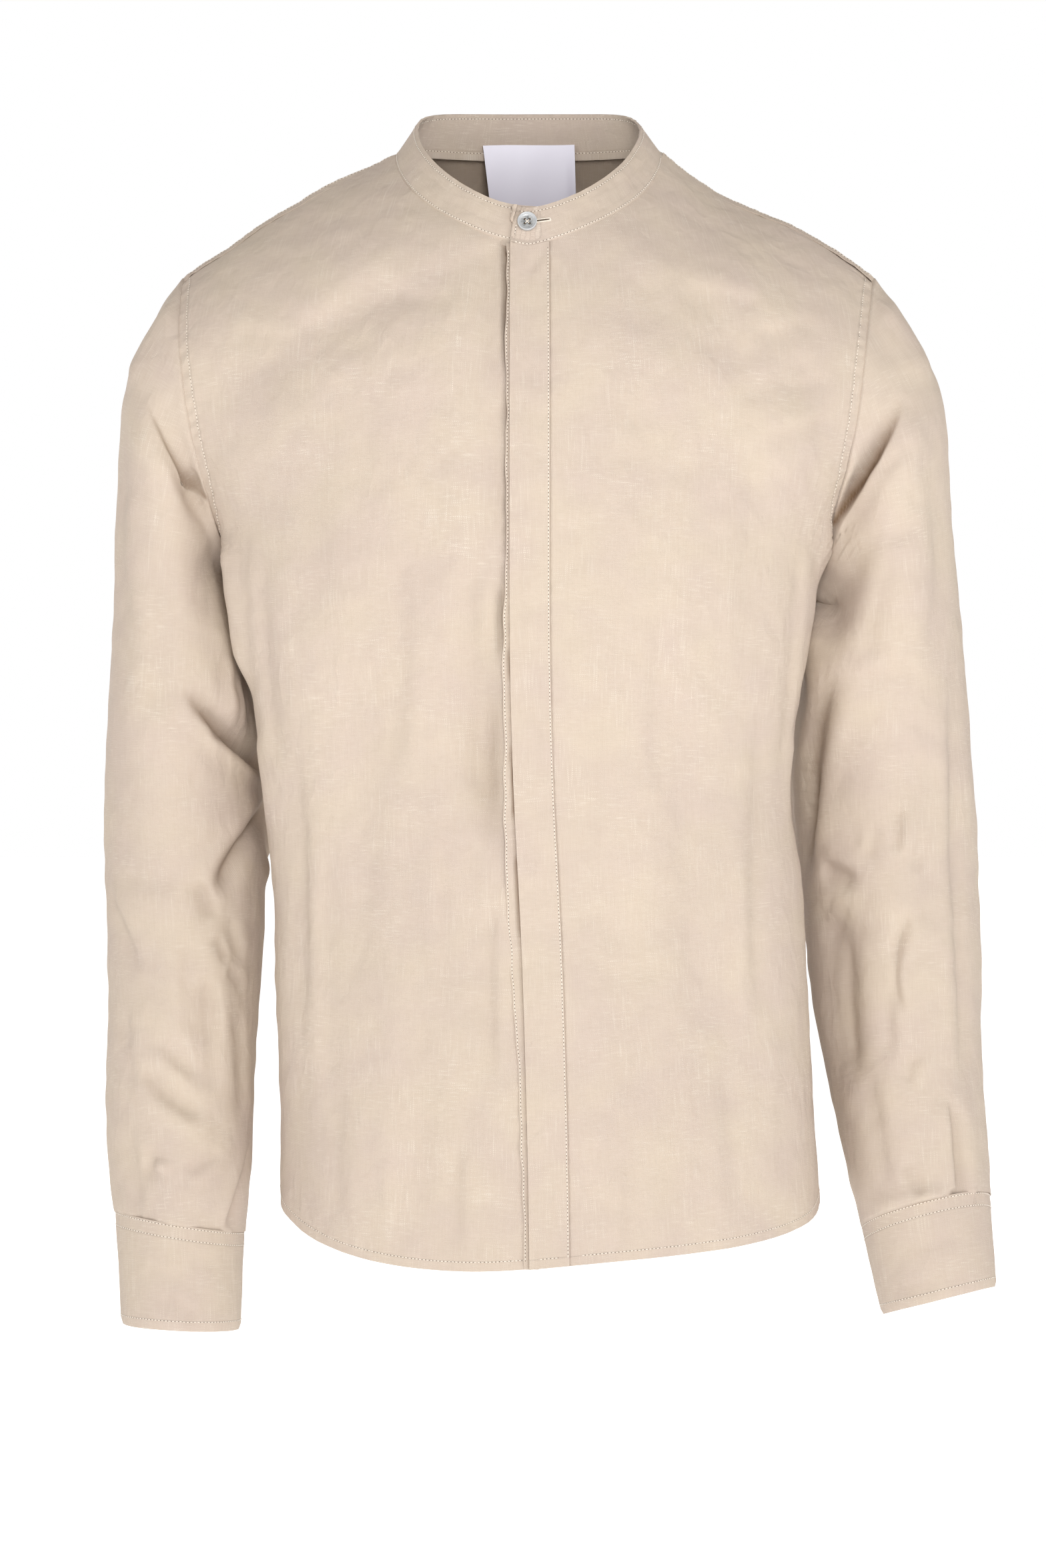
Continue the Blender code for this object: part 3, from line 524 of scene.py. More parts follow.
EDGE_ROOM = 0.03
SINK_WIDE = 2.2          # mm
PUCKER_WIDE = 3.6        # mm
PUCKER_MIDDLE = 0.6      # where the puckers are strongest, as a share of the way in to the stitches
BROAD_TURN = 0.62        # broad and small puckers, in radians for each mm along the edge
SMALL_TURN = 0.97
SMALL_SHARE = 0.6
BROAD_SLANT = 0.35       # and how they slant, in radians for each mm away from it
SMALL_SLANT = 0.3
DRIFT = 2.1              # how far, in radians, the broad ones stray from an even step
DRIFT_TURN = 0.083
UNSEWN = 1.0             # the mark of a point far from all stitches
NARROW = 2.0             # mm from the edge, below which its rows of stitches leave no raised hem
FLAT_INSET = 1.0         # and below which they press no ditch


def sewn_edges(piece, edges, seed):
    """Puckers the cloth along its stitched edges and marks how far each point is from its stitches.

    Each edge has a point near it, how far in its rows of stitches are, how strongly it puckers, how
    far it is let out over the piece that it is sewn to, and how far it sinks under it.
    """
    points, normals, runs = read_points(piece), read_normals(piece), edges_of(piece)
    off = np.full(len(points), UNSEWN)
    push, let_out = np.zeros(len(points)), np.zeros((len(points), 3))
    rows = []
    for number, (spot, insets, pucker, reach, sink) in enumerate(edges):
        run = nearest_run(piece, runs, spot)
        line = points[run]
        near = close_to(points, line, EDGE_ROOM)
        apart, length = (value / MM for value in distances(points[near], line))
        inset = insets[-1] if insets else 0.0
        if insets and inset > FLAT_INSET:
            mark = (apart - inset) * MM
            if inset < NARROW:
                mark = np.abs(mark)
            closer = np.abs(mark) < np.abs(off[near])
            off[near[closer]] = mark[closer]
        drift = DRIFT * np.sin(length * DRIFT_TURN + seed + number)
        wave = np.sin(length * BROAD_TURN + drift + BROAD_SLANT * apart)
        wave += SMALL_SHARE * np.sin(length * SMALL_TURN + 1.7 * number + seed - SMALL_SLANT * apart)
        push[near] += pucker * wave * np.exp(-(((apart - PUCKER_MIDDLE * inset) / PUCKER_WIDE) ** 2)) * MM
        push[near] -= sink * np.exp(-((apart / SINK_WIDE) ** 2)) * MM
        let_out[run] -= np.cross(normals[run], headings(line)) * reach * MM
        rows.append((run, insets))
    write_points(piece, points + push[:, None] * normals + let_out)
    write_mark(piece, "from_stitches", off)
    return rows


EVEN_REACH = 8           # points each way over which the edge's tilt is evened out
TURN_START = 0.3         # mm over which the allowance steps down


def turn_under(piece, spot, reach, drop):
    """Lays the cloth's seam allowance under the piece that its edge near this point is sewn to."""
    points = read_points(piece)
    run = nearest_run(piece, edges_of(piece), spot)
    facing = np.pad(read_normals(piece)[run], ((EVEN_REACH, EVEN_REACH), (0, 0)), "edge")
    even = np.ones(2 * EVEN_REACH + 1) / (2 * EVEN_REACH + 1)
    facing = np.stack([np.convolve(facing[:, axis], even, "valid") for axis in range(3)], axis=1)
    out = -np.cross(facing, headings(points[run]))
    mesh = bmesh.new()
    mesh.from_mesh(piece.data)
    mesh.verts.ensure_lookup_table()
    cut = mesh.loops.layers.uv["cut"]
    before = [mesh.verts[i] for i in run]
    flat = [vert.link_loops[0][cut].uv.copy() for vert in before]
    for go in (TURN_START, reach):
        spots = points[run] + (go * out - drop * facing) * MM
        after = [mesh.verts.new(spot) for spot in spots]
        for i in range(len(run) - 1):
            face = mesh.faces.new((before[i + 1], before[i], after[i], after[i + 1]))
            for loop, place in zip(face.loops, (flat[i + 1], flat[i], flat[i], flat[i + 1])):
                loop[cut].uv = place + Vector((0, go * MM))
        before = after
    mesh.to_mesh(piece.data)
    mesh.free()


RIM_ANGLE = math.radians(55)
INSIDE_PAINTED_SHADE = 0.42       # the inner side of the cloth lies in the shirt's own shade


def finish_cloth(piece, node, thickness=LINEN_THICK):
    """Gives the sheet its thickness and linen, and hides the solid that it stands for."""
    outer = len(piece.data.vertices)
    give_wall(piece, thickness)
    # Painted shade on the inner side of the thin linen, as if it lay in the shirt's own shade.
    if thickness == LINEN_THICK:
        painted_shade = read_mark(piece, "painted_shade")
        painted_shade[outer:] = np.maximum(painted_shade[outer:], INSIDE_PAINTED_SHADE)
        write_mark(piece, "painted_shade", painted_shade)
    bpy.ops.object.shade_smooth_by_angle(angle=RIM_ANGLE)
    piece.data.materials.clear()
    piece.data.materials.append(linen)
    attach(piece, "root")
    if node:
        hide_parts(node)
    del piece["flat"], piece["area"]


def node_group(name, inputs, outputs):
    group = bpy.data.node_groups.new(name, "ShaderNodeTree")
    for socket, kind in inputs:
        group.interface.new_socket(socket, in_out="INPUT", socket_type=kind)
    for socket, kind in outputs:
        group.interface.new_socket(socket, in_out="OUTPUT", socket_type=kind)
    return group, group.nodes.new("NodeGroupInput"), group.nodes.new("NodeGroupOutput")


def maths(tree, operation, *values):
    """A Math node whose inputs are sockets or numbers, and its result."""
    node = tree.nodes.new("ShaderNodeMath")
    node.operation = operation
    for socket, value in zip(node.inputs, values):
        if isinstance(value, (int, float)):
            socket.default_value = value
        else:
            tree.links.new(value, socket)
    return node.outputs[0]


def clamp(tree, value):
    return maths(tree, "MINIMUM", maths(tree, "MAXIMUM", value, 0.0), 1.0)


def noise(tree, place, scale, detail=2.0, distortion=0.0, dimensions="3D"):
    """Noise at a place, from 0 to 1."""
    cloud = tree.nodes.new("ShaderNodeTexNoise")
    cloud.noise_dimensions = dimensions
    cloud.inputs["Scale"].default_value = scale
    cloud.inputs["Detail"].default_value = detail
    cloud.inputs["Distortion"].default_value = distortion
    tree.links.new(place, cloud.inputs["Vector"])
    return cloud.outputs["Fac"]


def flat_noise(tree, x, y):
    """Noise on two coordinates, from 0 to 1."""
    spot = tree.nodes.new("ShaderNodeCombineXYZ")
    for socket, value in zip(spot.inputs, (x, y)):
        tree.links.new(value, socket)
    return noise(tree, spot.outputs[0], 1.0, 0.0, dimensions="2D")


def object_place(tree):
    return tree.nodes.new("ShaderNodeTexCoord").outputs["Object"]


def mark_of(tree, name):
    """The number that the mesh keeps for each point under this name."""
    mark = tree.nodes.new("ShaderNodeAttribute")
    mark.attribute_name = name
    return mark.outputs["Fac"]


def blend_colours(tree, factor, first, second):
    mix = tree.nodes.new("ShaderNodeMix")
    mix.data_type = "RGBA"
    tree.links.new(factor, mix.inputs["Factor"])
    for socket, colour in (("A", first), ("B", second)):
        ends = [end for end in mix.inputs if end.name == socket and end.type == "RGBA"]
        if isinstance(colour, tuple):
            ends[0].default_value = colour
        else:
            tree.links.new(colour, ends[0])
    return [end for end in mix.outputs if end.type == "RGBA"][0]


def colour_ramp(tree, factor, low, high):
    """A blend between two colours, each given with its place on the ramp."""
    ramp = tree.nodes.new("ShaderNodeValToRGB")
    for element, (position, colour) in zip(ramp.color_ramp.elements, (low, high)):
        element.position = position
        element.color = colour
    tree.links.new(factor, ramp.inputs["Fac"])
    return ramp.outputs["Color"]


def weave_on(tree, pitch):
    """The weave on a piece's flat cut, with threads of this width."""
    cut = tree.nodes.new("ShaderNodeUVMap")
    cut.uv_map = "cut"
    cloth = tree.nodes.new("ShaderNodeGroup")
    cloth.node_tree = weave
    cloth.inputs["Pitch"].default_value = pitch
    tree.links.new(cut.outputs["UV"], cloth.inputs["Cut"])
    return cloth


def raise_surface(tree, shader, height, strength):
    bump = tree.nodes.new("ShaderNodeBump")
    bump.inputs["Strength"].default_value = strength
    bump.inputs["Distance"].default_value = 1.0
    tree.links.new(height, bump.inputs["Height"])
    tree.links.new(bump.outputs["Normal"], shader.inputs["Normal"])


# The weave: warp and weft threads pass over and under each other, each thread has its own tone, and
# thick pale places run a short way along it, more of them in some patches than in others.
WARP_SLUBS = 26.0        # how long the thick places run, in threads
WEFT_SLUBS = 13.0
THREAD_APART = 3.71      # keeps one thread's slubs from lining up with the next one's
SLUB_FROM = 0.62         # noise above which a place is thick
PATCH_FROM = 0.38        # and a patch has thick places
PATCH_SCALES = (0.02, 0.012)
SLUB_STRENGTH = 7.0
THREAD_TONES = 0.4

weave, entry, out = node_group(
    "plain weave",
    [("Cut", "NodeSocketVector"), ("Pitch", "NodeSocketFloat")],
    [("Height", "NodeSocketFloat"), ("Tone", "NodeSocketFloat")],
)
split = weave.nodes.new("ShaderNodeSeparateXYZ")
weave.links.new(entry.outputs["Cut"], split.inputs[0])
threads = [maths(weave, "DIVIDE", split.outputs[axis], entry.outputs["Pitch"]) for axis in range(2)]
heights, tones = [], []
for (mine, other), slub_length in ((threads, WARP_SLUBS), (threads[::-1], WEFT_SLUBS)):
    number = maths(weave, "FLOOR", mine)
    round_thread = maths(weave, "ABSOLUTE", maths(weave, "SINE", maths(weave, "MULTIPLY", mine, math.pi)))
    own_place = maths(weave, "MULTIPLY", number, THREAD_APART)
    slub = flat_noise(weave, own_place, maths(weave, "DIVIDE", other, slub_length))
    thick = maths(weave, "MAXIMUM", maths(weave, "SUBTRACT", slub, SLUB_FROM), 0.0)
    spot = [maths(weave, "MULTIPLY", way, scale) for way, scale in zip((mine, other), PATCH_SCALES)]
    patch = maths(weave, "SUBTRACT", flat_noise(weave, *spot), PATCH_FROM)
    patch = maths(weave, "MULTIPLY", maths(weave, "MAXIMUM", patch, 0.0), SLUB_STRENGTH)
    heights.append(maths(weave, "MULTIPLY", round_thread, maths(weave, "ADD", slub, 0.6)))
    own_tone = maths(weave, "MULTIPLY", maths(weave, "SUBTRACT", slub, 0.5), THREAD_TONES)
    tones.append(maths(weave, "ADD", own_tone, maths(weave, "MULTIPLY", thick, patch)))
over = maths(weave, "PINGPONG", maths(weave, "ADD", *(maths(weave, "FLOOR", t) for t in threads)), 1.0)
for values, socket in ((heights, "Height"), (tones, "Tone")):
    chosen = weave.nodes.new("ShaderNodeMix")
    weave.links.new(over, chosen.inputs["Factor"])
    weave.links.new(values[0], chosen.inputs["A"])
    weave.links.new(values[1], chosen.inputs["B"])
    weave.links.new(chosen.outputs["Result"], out.inputs[socket])

THREAD_PITCH = 0.62 * MM
THREAD_HEIGHT = 0.10 * MM
CRUMPLE = 0.75 * MM
CRUMPLES = ((38.0, 1.0), (52.0, -1.0), (90.0, 0.5))    # how close together, and how high or low
CRUMPLE_STRETCH = 0.6    # they run longer up the shirt
CRUMPLE_SHARP = 7.0
LINEN_BUMP = 0.7
LINEN_WARM = (0.555, 0.466, 0.378, 1.0)
LINEN_COOL = (0.530, 0.438, 0.372, 1.0)
LINEN_PALE = (0.660, 0.585, 0.500, 1.0)
LINEN_DEEP = (0.420, 0.325, 0.245, 1.0)
# Painted shade: the dark brown that the linen is blended towards where the painted shade mark says.
PAINTED_SHADE_BROWN = (0.150, 0.085, 0.042, 1.0)    # where it is folded deep
HUE_CLOUDS = 24.0
SHADE_CLOUDS = 9.0
HUE_CONTRAST = 3.0
SHADE_CONTRAST = 0.12
SHADE_LOWEST = 0.94
DITCH_WIDE = 0.9 * MM    # the ditch that the stitches pull into the cloth
DITCH_DEEP = 0.22 * MM
DITCH_PAINTED_SHADE = 0.09
HEM_HEIGHT = 0.22 * MM   # the turned edge beside the stitches stands this high

linen, tree, shader = new_material("sand linen")
shader.inputs["Roughness"].default_value = 0.9
shader.inputs["Specular IOR Level"].default_value = 0.2
shader.inputs["Sheen Weight"].default_value = 0.05
shader.inputs["Sheen Roughness"].default_value = 0.6
cloth = weave_on(tree, THREAD_PITCH)
place = object_place(tree)
hue_clouds, shade_clouds = (noise(tree, place, scale) for scale in (HUE_CLOUDS, SHADE_CLOUDS))
hue = maths(tree, "MULTIPLY", maths(tree, "SUBTRACT", hue_clouds, 0.5), HUE_CONTRAST)
colour = blend_colours(tree, clamp(tree, maths(tree, "ADD", hue, 0.5)), LINEN_WARM, LINEN_COOL)
tone = cloth.outputs["Tone"]
colour = blend_colours(tree, clamp(tree, tone), colour, LINEN_PALE)
colour = blend_colours(tree, clamp(tree, maths(tree, "MULTIPLY", tone, -1.5)), colour, LINEN_DEEP)
from_stitches = mark_of(tree, "from_stitches")
apart = maths(tree, "DIVIDE", maths(tree, "ABSOLUTE", from_stitches), DITCH_WIDE)
ditch = maths(tree, "SUBTRACT", 1.0, maths(tree, "MINIMUM", apart, 1.0))
turned = maths(tree, "LESS_THAN", from_stitches, 0.0)
# Random mottling of the linen's tone, and painted shade darkening the ditch beside the stitches.
mottle_and_ditch_shade = maths(tree, "ADD", maths(tree, "MULTIPLY", shade_clouds, SHADE_CONTRAST), SHADE_LOWEST)
mottle_and_ditch_shade = maths(tree, "SUBTRACT", mottle_and_ditch_shade, maths(tree, "MULTIPLY", ditch, DITCH_PAINTED_SHADE))
# Painted shade: in deep folds, on the cloth's inner side and on the placket's under layer the colour is
# blended towards dark brown.
colour = blend_colours(tree, mark_of(tree, "painted_shade"), colour, PAINTED_SHADE_BROWN)
tint = tree.nodes.new("ShaderNodeVectorMath")
tint.operation = "SCALE"
tree.links.new(colour, tint.inputs[0])
tree.links.new(mottle_and_ditch_shade, tint.inputs["Scale"])
tree.links.new(tint.outputs[0], shader.inputs["Base Color"])
high = maths(tree, "MULTIPLY", cloth.outputs["Height"], THREAD_HEIGHT)
high = maths(tree, "ADD", high, maths(tree, "MULTIPLY", turned, HEM_HEIGHT))
high = maths(tree, "SUBTRACT", high, maths(tree, "MULTIPLY", ditch, DITCH_DEEP))
for scale, way in CRUMPLES:
    squeeze = tree.nodes.new("ShaderNodeVectorMath")
    squeeze.operation = "MULTIPLY"
    squeeze.inputs[1].default_value = (scale, scale, scale * CRUMPLE_STRETCH)
    tree.links.new(place, squeeze.inputs[0])
    crumple = noise(tree, squeeze.outputs[0], 1.0, 1.5, 0.3)
    ridge = maths(tree, "ABSOLUTE", maths(tree, "SUBTRACT", crumple, 0.5))
    ridge = maths(tree, "MINIMUM", maths(tree, "MULTIPLY", ridge, CRUMPLE_SHARP), 1.0)
    ridge = maths(tree, "MULTIPLY", ridge, shade_clouds)
    high = maths(tree, "ADD", high, maths(tree, "MULTIPLY", ridge, CRUMPLE * way))
raise_surface(tree, shader, high, LINEN_BUMP)

THREAD_PLY = 900.0
THREAD_DARK = (0.66, 0.58, 0.49, 1.0)
THREAD_LIT = (0.84, 0.77, 0.68, 1.0)
thread, tree, shader = new_material("sand thread")
shader.inputs["Roughness"].default_value = 0.6
shader.inputs["Sheen Weight"].default_value = 0.2
ply = noise(tree, object_place(tree), THREAD_PLY)
tree.links.new(colour_ramp(tree, ply, (0.0, THREAD_DARK), (1.0, THREAD_LIT)), shader.inputs["Base Color"])

# Painted shade: a near-black brown for the dark discs in needle holes, button holes and buttonhole slits.
shadow, tree, shader = new_material("painted hole shade")
shader.inputs["Base Color"].default_value = (0.08, 0.058, 0.04, 1.0)
shader.inputs["Roughness"].default_value = 1.0

BACK_CREASES = (
    # x z, x2 z2, x3 z3: start, middle, end; width, depth, bank, drop
    (-196, -182, -172, -226, -140, -262, 13, 4.5, 1.5, 0.5),
    (198, -188, 176, -236, 146, -276, 13, 4.5, -1.5, 0.5),
    (-182, -262, -160, -300, -128, -352, 11, 2.8, 1.2, 0.6),
    (180, -272, 160, -306, 132, -366, 11, 2.8, -1.2, 0.6),
    (-60, -330, -66, -450, -84, -560, 14, 3.0, 1.2, 0.5),
    (58, -350, 70, -470, 80, -590, 14, 3.0, -1.2, 0.5),
    (-10, -400, 2, -540, 8, -690, 15, 2.2, 1.0, 0.6),
    (-124, -450, -128, -570, -118, -670, 13, 2.4, 0.9, 0.6),
    (126, -470, 122, -590, 130, -690, 13, 2.4, -0.9, 0.6),
    (-70, -46, -110, -62, -150, -96, 10, 1.4, 0.7, 0.8),
    (72, -46, 112, -66, 152, -100, 10, 1.4, -0.7, 0.8),
    (-56, -70, 0, -82, 60, -72, 14, 1.0, 0.6, 1.0),
    (-30, -160, -34, -240, -26, -330, 13, 1.2, 0.6, 0.8),
    (40, -150, 38, -220, 46, -310, 12, 1.1, -0.5, 0.8),
)
SEAM_REACH = 0.45        # how far a piece is let out to meet its neighbour edge to edge
LAP_REACH = 1.0          # and to lie over it
MEET = 0.25              # how far an edge sinks where it meets its neighbour
UNDER = 0.6              # and where it goes under it
BACK_EDGES = (
    # a point near the edge, how far in its stitches are, its puckers, how far out it is let, its sink
    ((0, 100, -724), (6.0,), 0.22, 0.0, 0.0),
    ((-166, 6, -480), (), 0.10, 0.0, UNDER),
    ((166, 6, -480), (), 0.10, 0.0, UNDER),
    ((-231, 80, -154), (7.0,), 0.40, LAP_REACH, 0.0),
    ((227, 80, -154), (7.0,), 0.40, LAP_REACH, 0.0),
    ((-150, 0, -40), (), 0.08, 0.0, UNDER),
    ((150, 0, -40), (), 0.08, 0.0, UNDER),
    ((0, 63, 7), (), 0.12, SEAM_REACH, MEET),
)
WAVE_SEED = 7            # one for all pieces, so that the cloth rolls on across the seams
ROLLS = (0.075, 0.036, 0.022)    # metres from one roll to the next: broad, middling and small ones
ROLL_SHARES = (0.30, 0.23)       # of the middling and the small ones


def rolling(points):
    """How far the cloth rolls out or in at each point, in metres."""
    soft = waver(points * (1.0, 1.0, 0.4), ROLLS[0], WAVE_SEED)
    soft += ROLL_SHARES[0] * waver(points * (1.0, 1.0, 0.55), ROLLS[1], WAVE_SEED + 2, waves=14)
    return (soft + ROLL_SHARES[1] * waver(points, ROLLS[2], WAVE_SEED + 1, waves=14)) * MM


def make_panel(node, folds, edges, seed, broad=1.0, holds=(), unders=(), thick=LINEN_THICK, **how):
    """A cloth piece with its folds, puckered edges, stitches and seam allowances.

    folds has rows of creases and the side they are seen from. holds has a point near each edge that
    holds the folds flat, and how far in it does. unders has a point near each edge that goes on under
    its neighbour, how far it does, and how deep.
    """
    piece = outer_skin(node, 3, **how)
    held = 1.0
    for spot, hold in holds:
        run = nearest_run(piece, edges_of(piece), spot)
        apart = distances(read_points(piece), read_points(piece)[run][::2])[0]
        held = held * ease(apart / (hold * MM))
    for rows, face in folds:
        crease(piece, rows, face, held)
    points = read_points(piece)
    write_points(piece, points + broad * rolling(points)[:, None] * read_normals(piece))
    for run, insets in sewn_edges(piece, edges, seed):
        for inset in insets:
            sew(*beside(piece, run, inset), thick)
    for spot, reach, drop in unders:
        turn_under(piece, spot, reach, drop)
    finish_cloth(piece, node, thick)
    return piece


back_armholes = ((-231, 80, -154), (227, 80, -154))
back_sides = ((-166, 6, -480), (166, 6, -480))
back_shoulders = ((-150, 0, -40), (150, 0, -40))
make_panel(
    "back",
    ((BACK_CREASES, 1),),
    BACK_EDGES,
    11,
    holds=[(spot, 6.0) for spot in back_armholes + back_sides],
    unders=[(spot, 8.0, 0.9) for spot in back_sides + back_shoulders],
)

# --- Fronts -----------------------------------------------------------------------------------------
# Two pieces of the same linen. The left one lies over the right one at the centre, where a stitched
# line holds the right one's turned edge.

RIGHT_FRONT_CREASES = (
    (-34, -262, -37, -350, -30, -446, 12, 3.4, 0.8, 0.5),
    (-24, -335, -25.5, -400, -24.5, -462, 9, 5.0, 0.6, 0.8, 0.5, 0.4),
    (-18, -285, -18, -312, -19, -340, 4, 2.8, 0.3, 0.7),
    (-14, -58, -14, -110, -14, -170, 3.2, 4.0, 0, 0.8, 0.1, 0.3),
    (-14, -150, -13.6, -215, -13.6, -285, 2.6, 2.6, 0, 0.8),
    (-16, -270, -16, -300, -15, -340, 3, 1.6, 0, 0.8),
    (-26, -290, -27, -370, -24, -470, 8, 2.2, 0, 0.8),
    (-23, -58, -24, -110, -23, -170, 9, 2.0, 0.3, 0.5),
    (-21, -170, -21, -220, -22, -270, 6, 1.4, 0.2, 0.5),
    (-22, -480, -24, -540, -22, -610, 7, 2.2, 0.4, 0.5),
    (-34, -440, -36, -510, -30, -590, 12, 1.6, 0.5, 0.7),
    (-98, -330, -106, -440, -112, -560, 18, 1.7, 0.7, 0.7),
    (-66, -540, -70, -620, -66, -700, 14, 1.3, 0.6, 0.7),
    (-150, -130, -118, -110, -84, -92, 11, 1.3, 0.7, 0.8),
    (-172, -250, -170, -330, -158, -420, 9, 1.8, -1.0, 0.6),
    (-176, -128, -150, -160, -116, -178, 13, 1.3, 0.6, 0.8),
    (-140, -200, -136, -260, -138, -330, 14, 1.2, 0.6, 0.8),
    (-120, -600, -122, -650, -120, -700, 10, 1.4, 0.7, 0.6),
    (-92, -610, -91, -660, -90, -712, 5, -0.7, 0, 1.0),
    (-60, -150, -64, -220, -60, -300, 15, 1.1, 0.5, 0.8),
    (-196, -244, -190, -300, -180, -360, 14, -7.5, 0, 1.0),
    (-176, -380, -171, -410, -168, -450, 12, -2.0, 0, 1.0),
    (-152, -380, -146, -480, -148, -600, 12, 2.0, 0.9, 0.5),
    (-128, -440, -131, -540, -126, -640, 9, 1.4, -0.7, 0.6),
    (-84, -260, -82, -340, -88, -430, 10, 1.3, 0.6, 0.6),
    (-52, -430, -54, -500, -50, -570, 8, 1.3, -0.6, 0.6),
    (-44, -640, -46, -680, -42, -716, 8, 1.5, 0.7, 0.5),
    (-110, -190, -100, -214, -82, -230, 9, 1.1, 0.5, 0.7),
    (-190, -118, -168, -128, -146, -130, 8, 1.2, 0.6, 0.6),
    (-96, -96, -70, -104, -46, -106, 9, 1.1, 0.5, 0.7),
)
LEFT_FRONT_CREASES = (
    (96, -340, 104, -470, 110, -600, 17, 1.7, -0.7, 0.7),
    (64, -500, 60, -590, 56, -690, 13, 1.3, -0.6, 0.7),
    (158, -108, 126, -104, 92, -92, 10, 1.5, -0.7, 0.7),
    (198, -178, 178, -186, 150, -196, 7, 1.4, -0.7, 0.6),
    (176, -250, 172, -330, 160, -420, 9, 1.8, 1.0, 0.6),
    (186, -140, 160, -160, 122, -168, 12, 1.4, -0.6, 0.7),
    (146, -200, 142, -270, 140, -340, 13, 1.2, -0.6, 0.8),
    (156, -560, 157, -640, 158, -700, 6, -0.8, 0, 1.0),
    (57, -610, 57, -660, 58, -712, 5, -0.7, 0, 1.0),
    (128, -590, 130, -650, 132, -700, 10, 1.3, -0.6, 0.6),
    (70, -160, 76, -230, 72, -300, 15, 1.1, -0.5, 0.8),
    (194, -240, 190, -300, 180, -360, 15, -9.0, 0, 1.0),
    (173, -380, 169, -410, 167, -450, 12, -2.0, 0, 1.0),
    (150, -360, 146, -470, 150, -580, 12, 2.0, -0.9, 0.5),
    (124, -420, 128, -520, 124, -620, 9, 1.5, 0.7, 0.6),
    (84, -280, 82, -360, 88, -440, 10, 1.3, -0.6, 0.6),
    (92, -560, 90, -640, 92, -706, 9, 1.5, 0.7, 0.6),
    (40, -330, 42, -400, 38, -470, 8, 1.2, 0.5, 0.7),
    (60, -640, 62, -680, 58, -716, 7, 1.3, -0.6, 0.5),
    (186, -112, 164, -124, 140, -126, 8, 1.3, -0.6, 0.6),
    (120, -190, 104, -210, 86, -222, 9, 1.1, -0.5, 0.7),
    (196, -150, 180, -158, 160, -160, 6, 1.1, -0.5, 0.6),
)
for side, node, creases in (
    (-1, "front_right", RIGHT_FRONT_CREASES),
    (1, "front_left", LEFT_FRONT_CREASES),
):
    centre = (9, -110, -400) if side < 0 else (16, -112, -400)
    make_panel(
        node,
        ((creases, -1),),
        (
            ((80 * side, -112, -724), (6.0,), 0.22, 0.0, 0.0),
            ((218 * side, -45, -180), (7.0,), 0.50, LAP_REACH, 0.0),
            ((166 * side, 6, -480), (1.4,), 0.14, LAP_REACH, 0.0),
            ((150 * side, 0, -40), (1.4,), 0.12, LAP_REACH, 0.0),
            ((60 * side, -62, -45), (), 0.10, SEAM_REACH, MEET),
            (centre, (), 0.05, 0.0, MEET if side > 0 else 0.0),
        ),
        21 + side,
        holds=(((218 * side, -45, -180), 6.0),),
        unders=(((16, -112, -400), 9.0, 0.9),) * (side > 0),
    )

# --- Placket ----------------------------------------------------------------------------------------
# A strip of the left front folded double, which hides the buttons. It is stitched down along its left
# side. The layer behind it, which holds the buttonholes, has its own stitched edge and stands out a
# little past the fold.

DOUBLE_THICK = 1.4 * MM
PLACKET_CREASES = (
    (14, -74, 6, -80, -2, -92, 5, 0.9, 0.5, 0.6),
    (6, -372, 7, -384, 6, -396, 3, 0.5, 0.2, 0.6),
    (-4, -262, -5, -300, -5, -330, 5, 0.6, 0.3, 0.7),
    (0, -430, 2, -470, 2, -520, 6, 0.6, -0.3, 0.7),
)
placket = make_panel(
    "placket",
    ((PLACKET_CREASES, -1),),
    (
        ((14, -108, -400), (0.9,), 0.14, 0.4, 0.12),
        ((-12, -110, -400), (), 0.22, 0.0, -0.5),
        ((6, -118, -723), (6.0,), 0.1, 0.0, 0.0),
    ),
    31,
    thick=DOUBLE_THICK,
)

UNDER_LAYER = (
    # height, and how far the layer stands out past the fold there
    (-60, 2.4),
    (-280, 2.6),
    (-310, 4.4),
    (-345, 5.4),
    (-385, 4.6),
    (-430, 6.6),
    (-500, 8.2),
    (-545, 7.6),
    (-600, 5.0),
    (-730, 3.4),
)
# Painted shade on the under layer: a little beside the fold all along, more where it gapes away from it.
SLIVERS = ((-352, -328), (-440, -388), (-516, -458))   # heights at which it gapes away from the fold
SLIVER_PAINTED_SHADE = 0.6
SLIVER_WIDE = 2.6        # mm
SLIVER_FADE = 8          # mm over which each begins and ends
FOLD_PAINTED_SHADE = 0.25         # the layer's shade right beside the fold
UNDER_INSIDE = 6.0       # how far it reaches back behind the fold
UNDER_DROP = 1.3
UNDER_UNEVEN = 0.5
UNDER_WAVE = 0.03
UNDER_ROWS = 7
fold = outer_skin("placket", 3)
run = nearest_run(fold, edges_of(fold), (-12, -110, -400))
line, facing = read_points(fold)[run], read_normals(fold)[run]
ahead = headings(line)
out = -np.cross(facing, ahead)
bpy.data.objects.remove(fold)
line += rolling(line)[:, None] * facing
heights, widths = zip(*reversed(UNDER_LAYER))
width = np.interp(line[:, 2] / MM, heights, widths) + UNDER_UNEVEN * waver(line, UNDER_WAVE, 5)
rows = []
for share in np.linspace(0, 1, UNDER_ROWS):
    go = -UNDER_INSIDE + share * (width + UNDER_INSIDE)
    rows.append(line + (go[:, None] * out - UNDER_DROP * facing) * MM)
points = np.stack(rows, axis=1)
count = len(line)
firsts = [i * UNDER_ROWS + j for i in range(count - 1) for j in range(UNDER_ROWS - 1)]
quads = [(at, at + 1, at + UNDER_ROWS + 1, at + UNDER_ROWS) for at in firsts]
if np.dot(np.cross(ahead[0], out[0]), facing[0]) > 0:
    quads = [quad[::-1] for quad in quads]
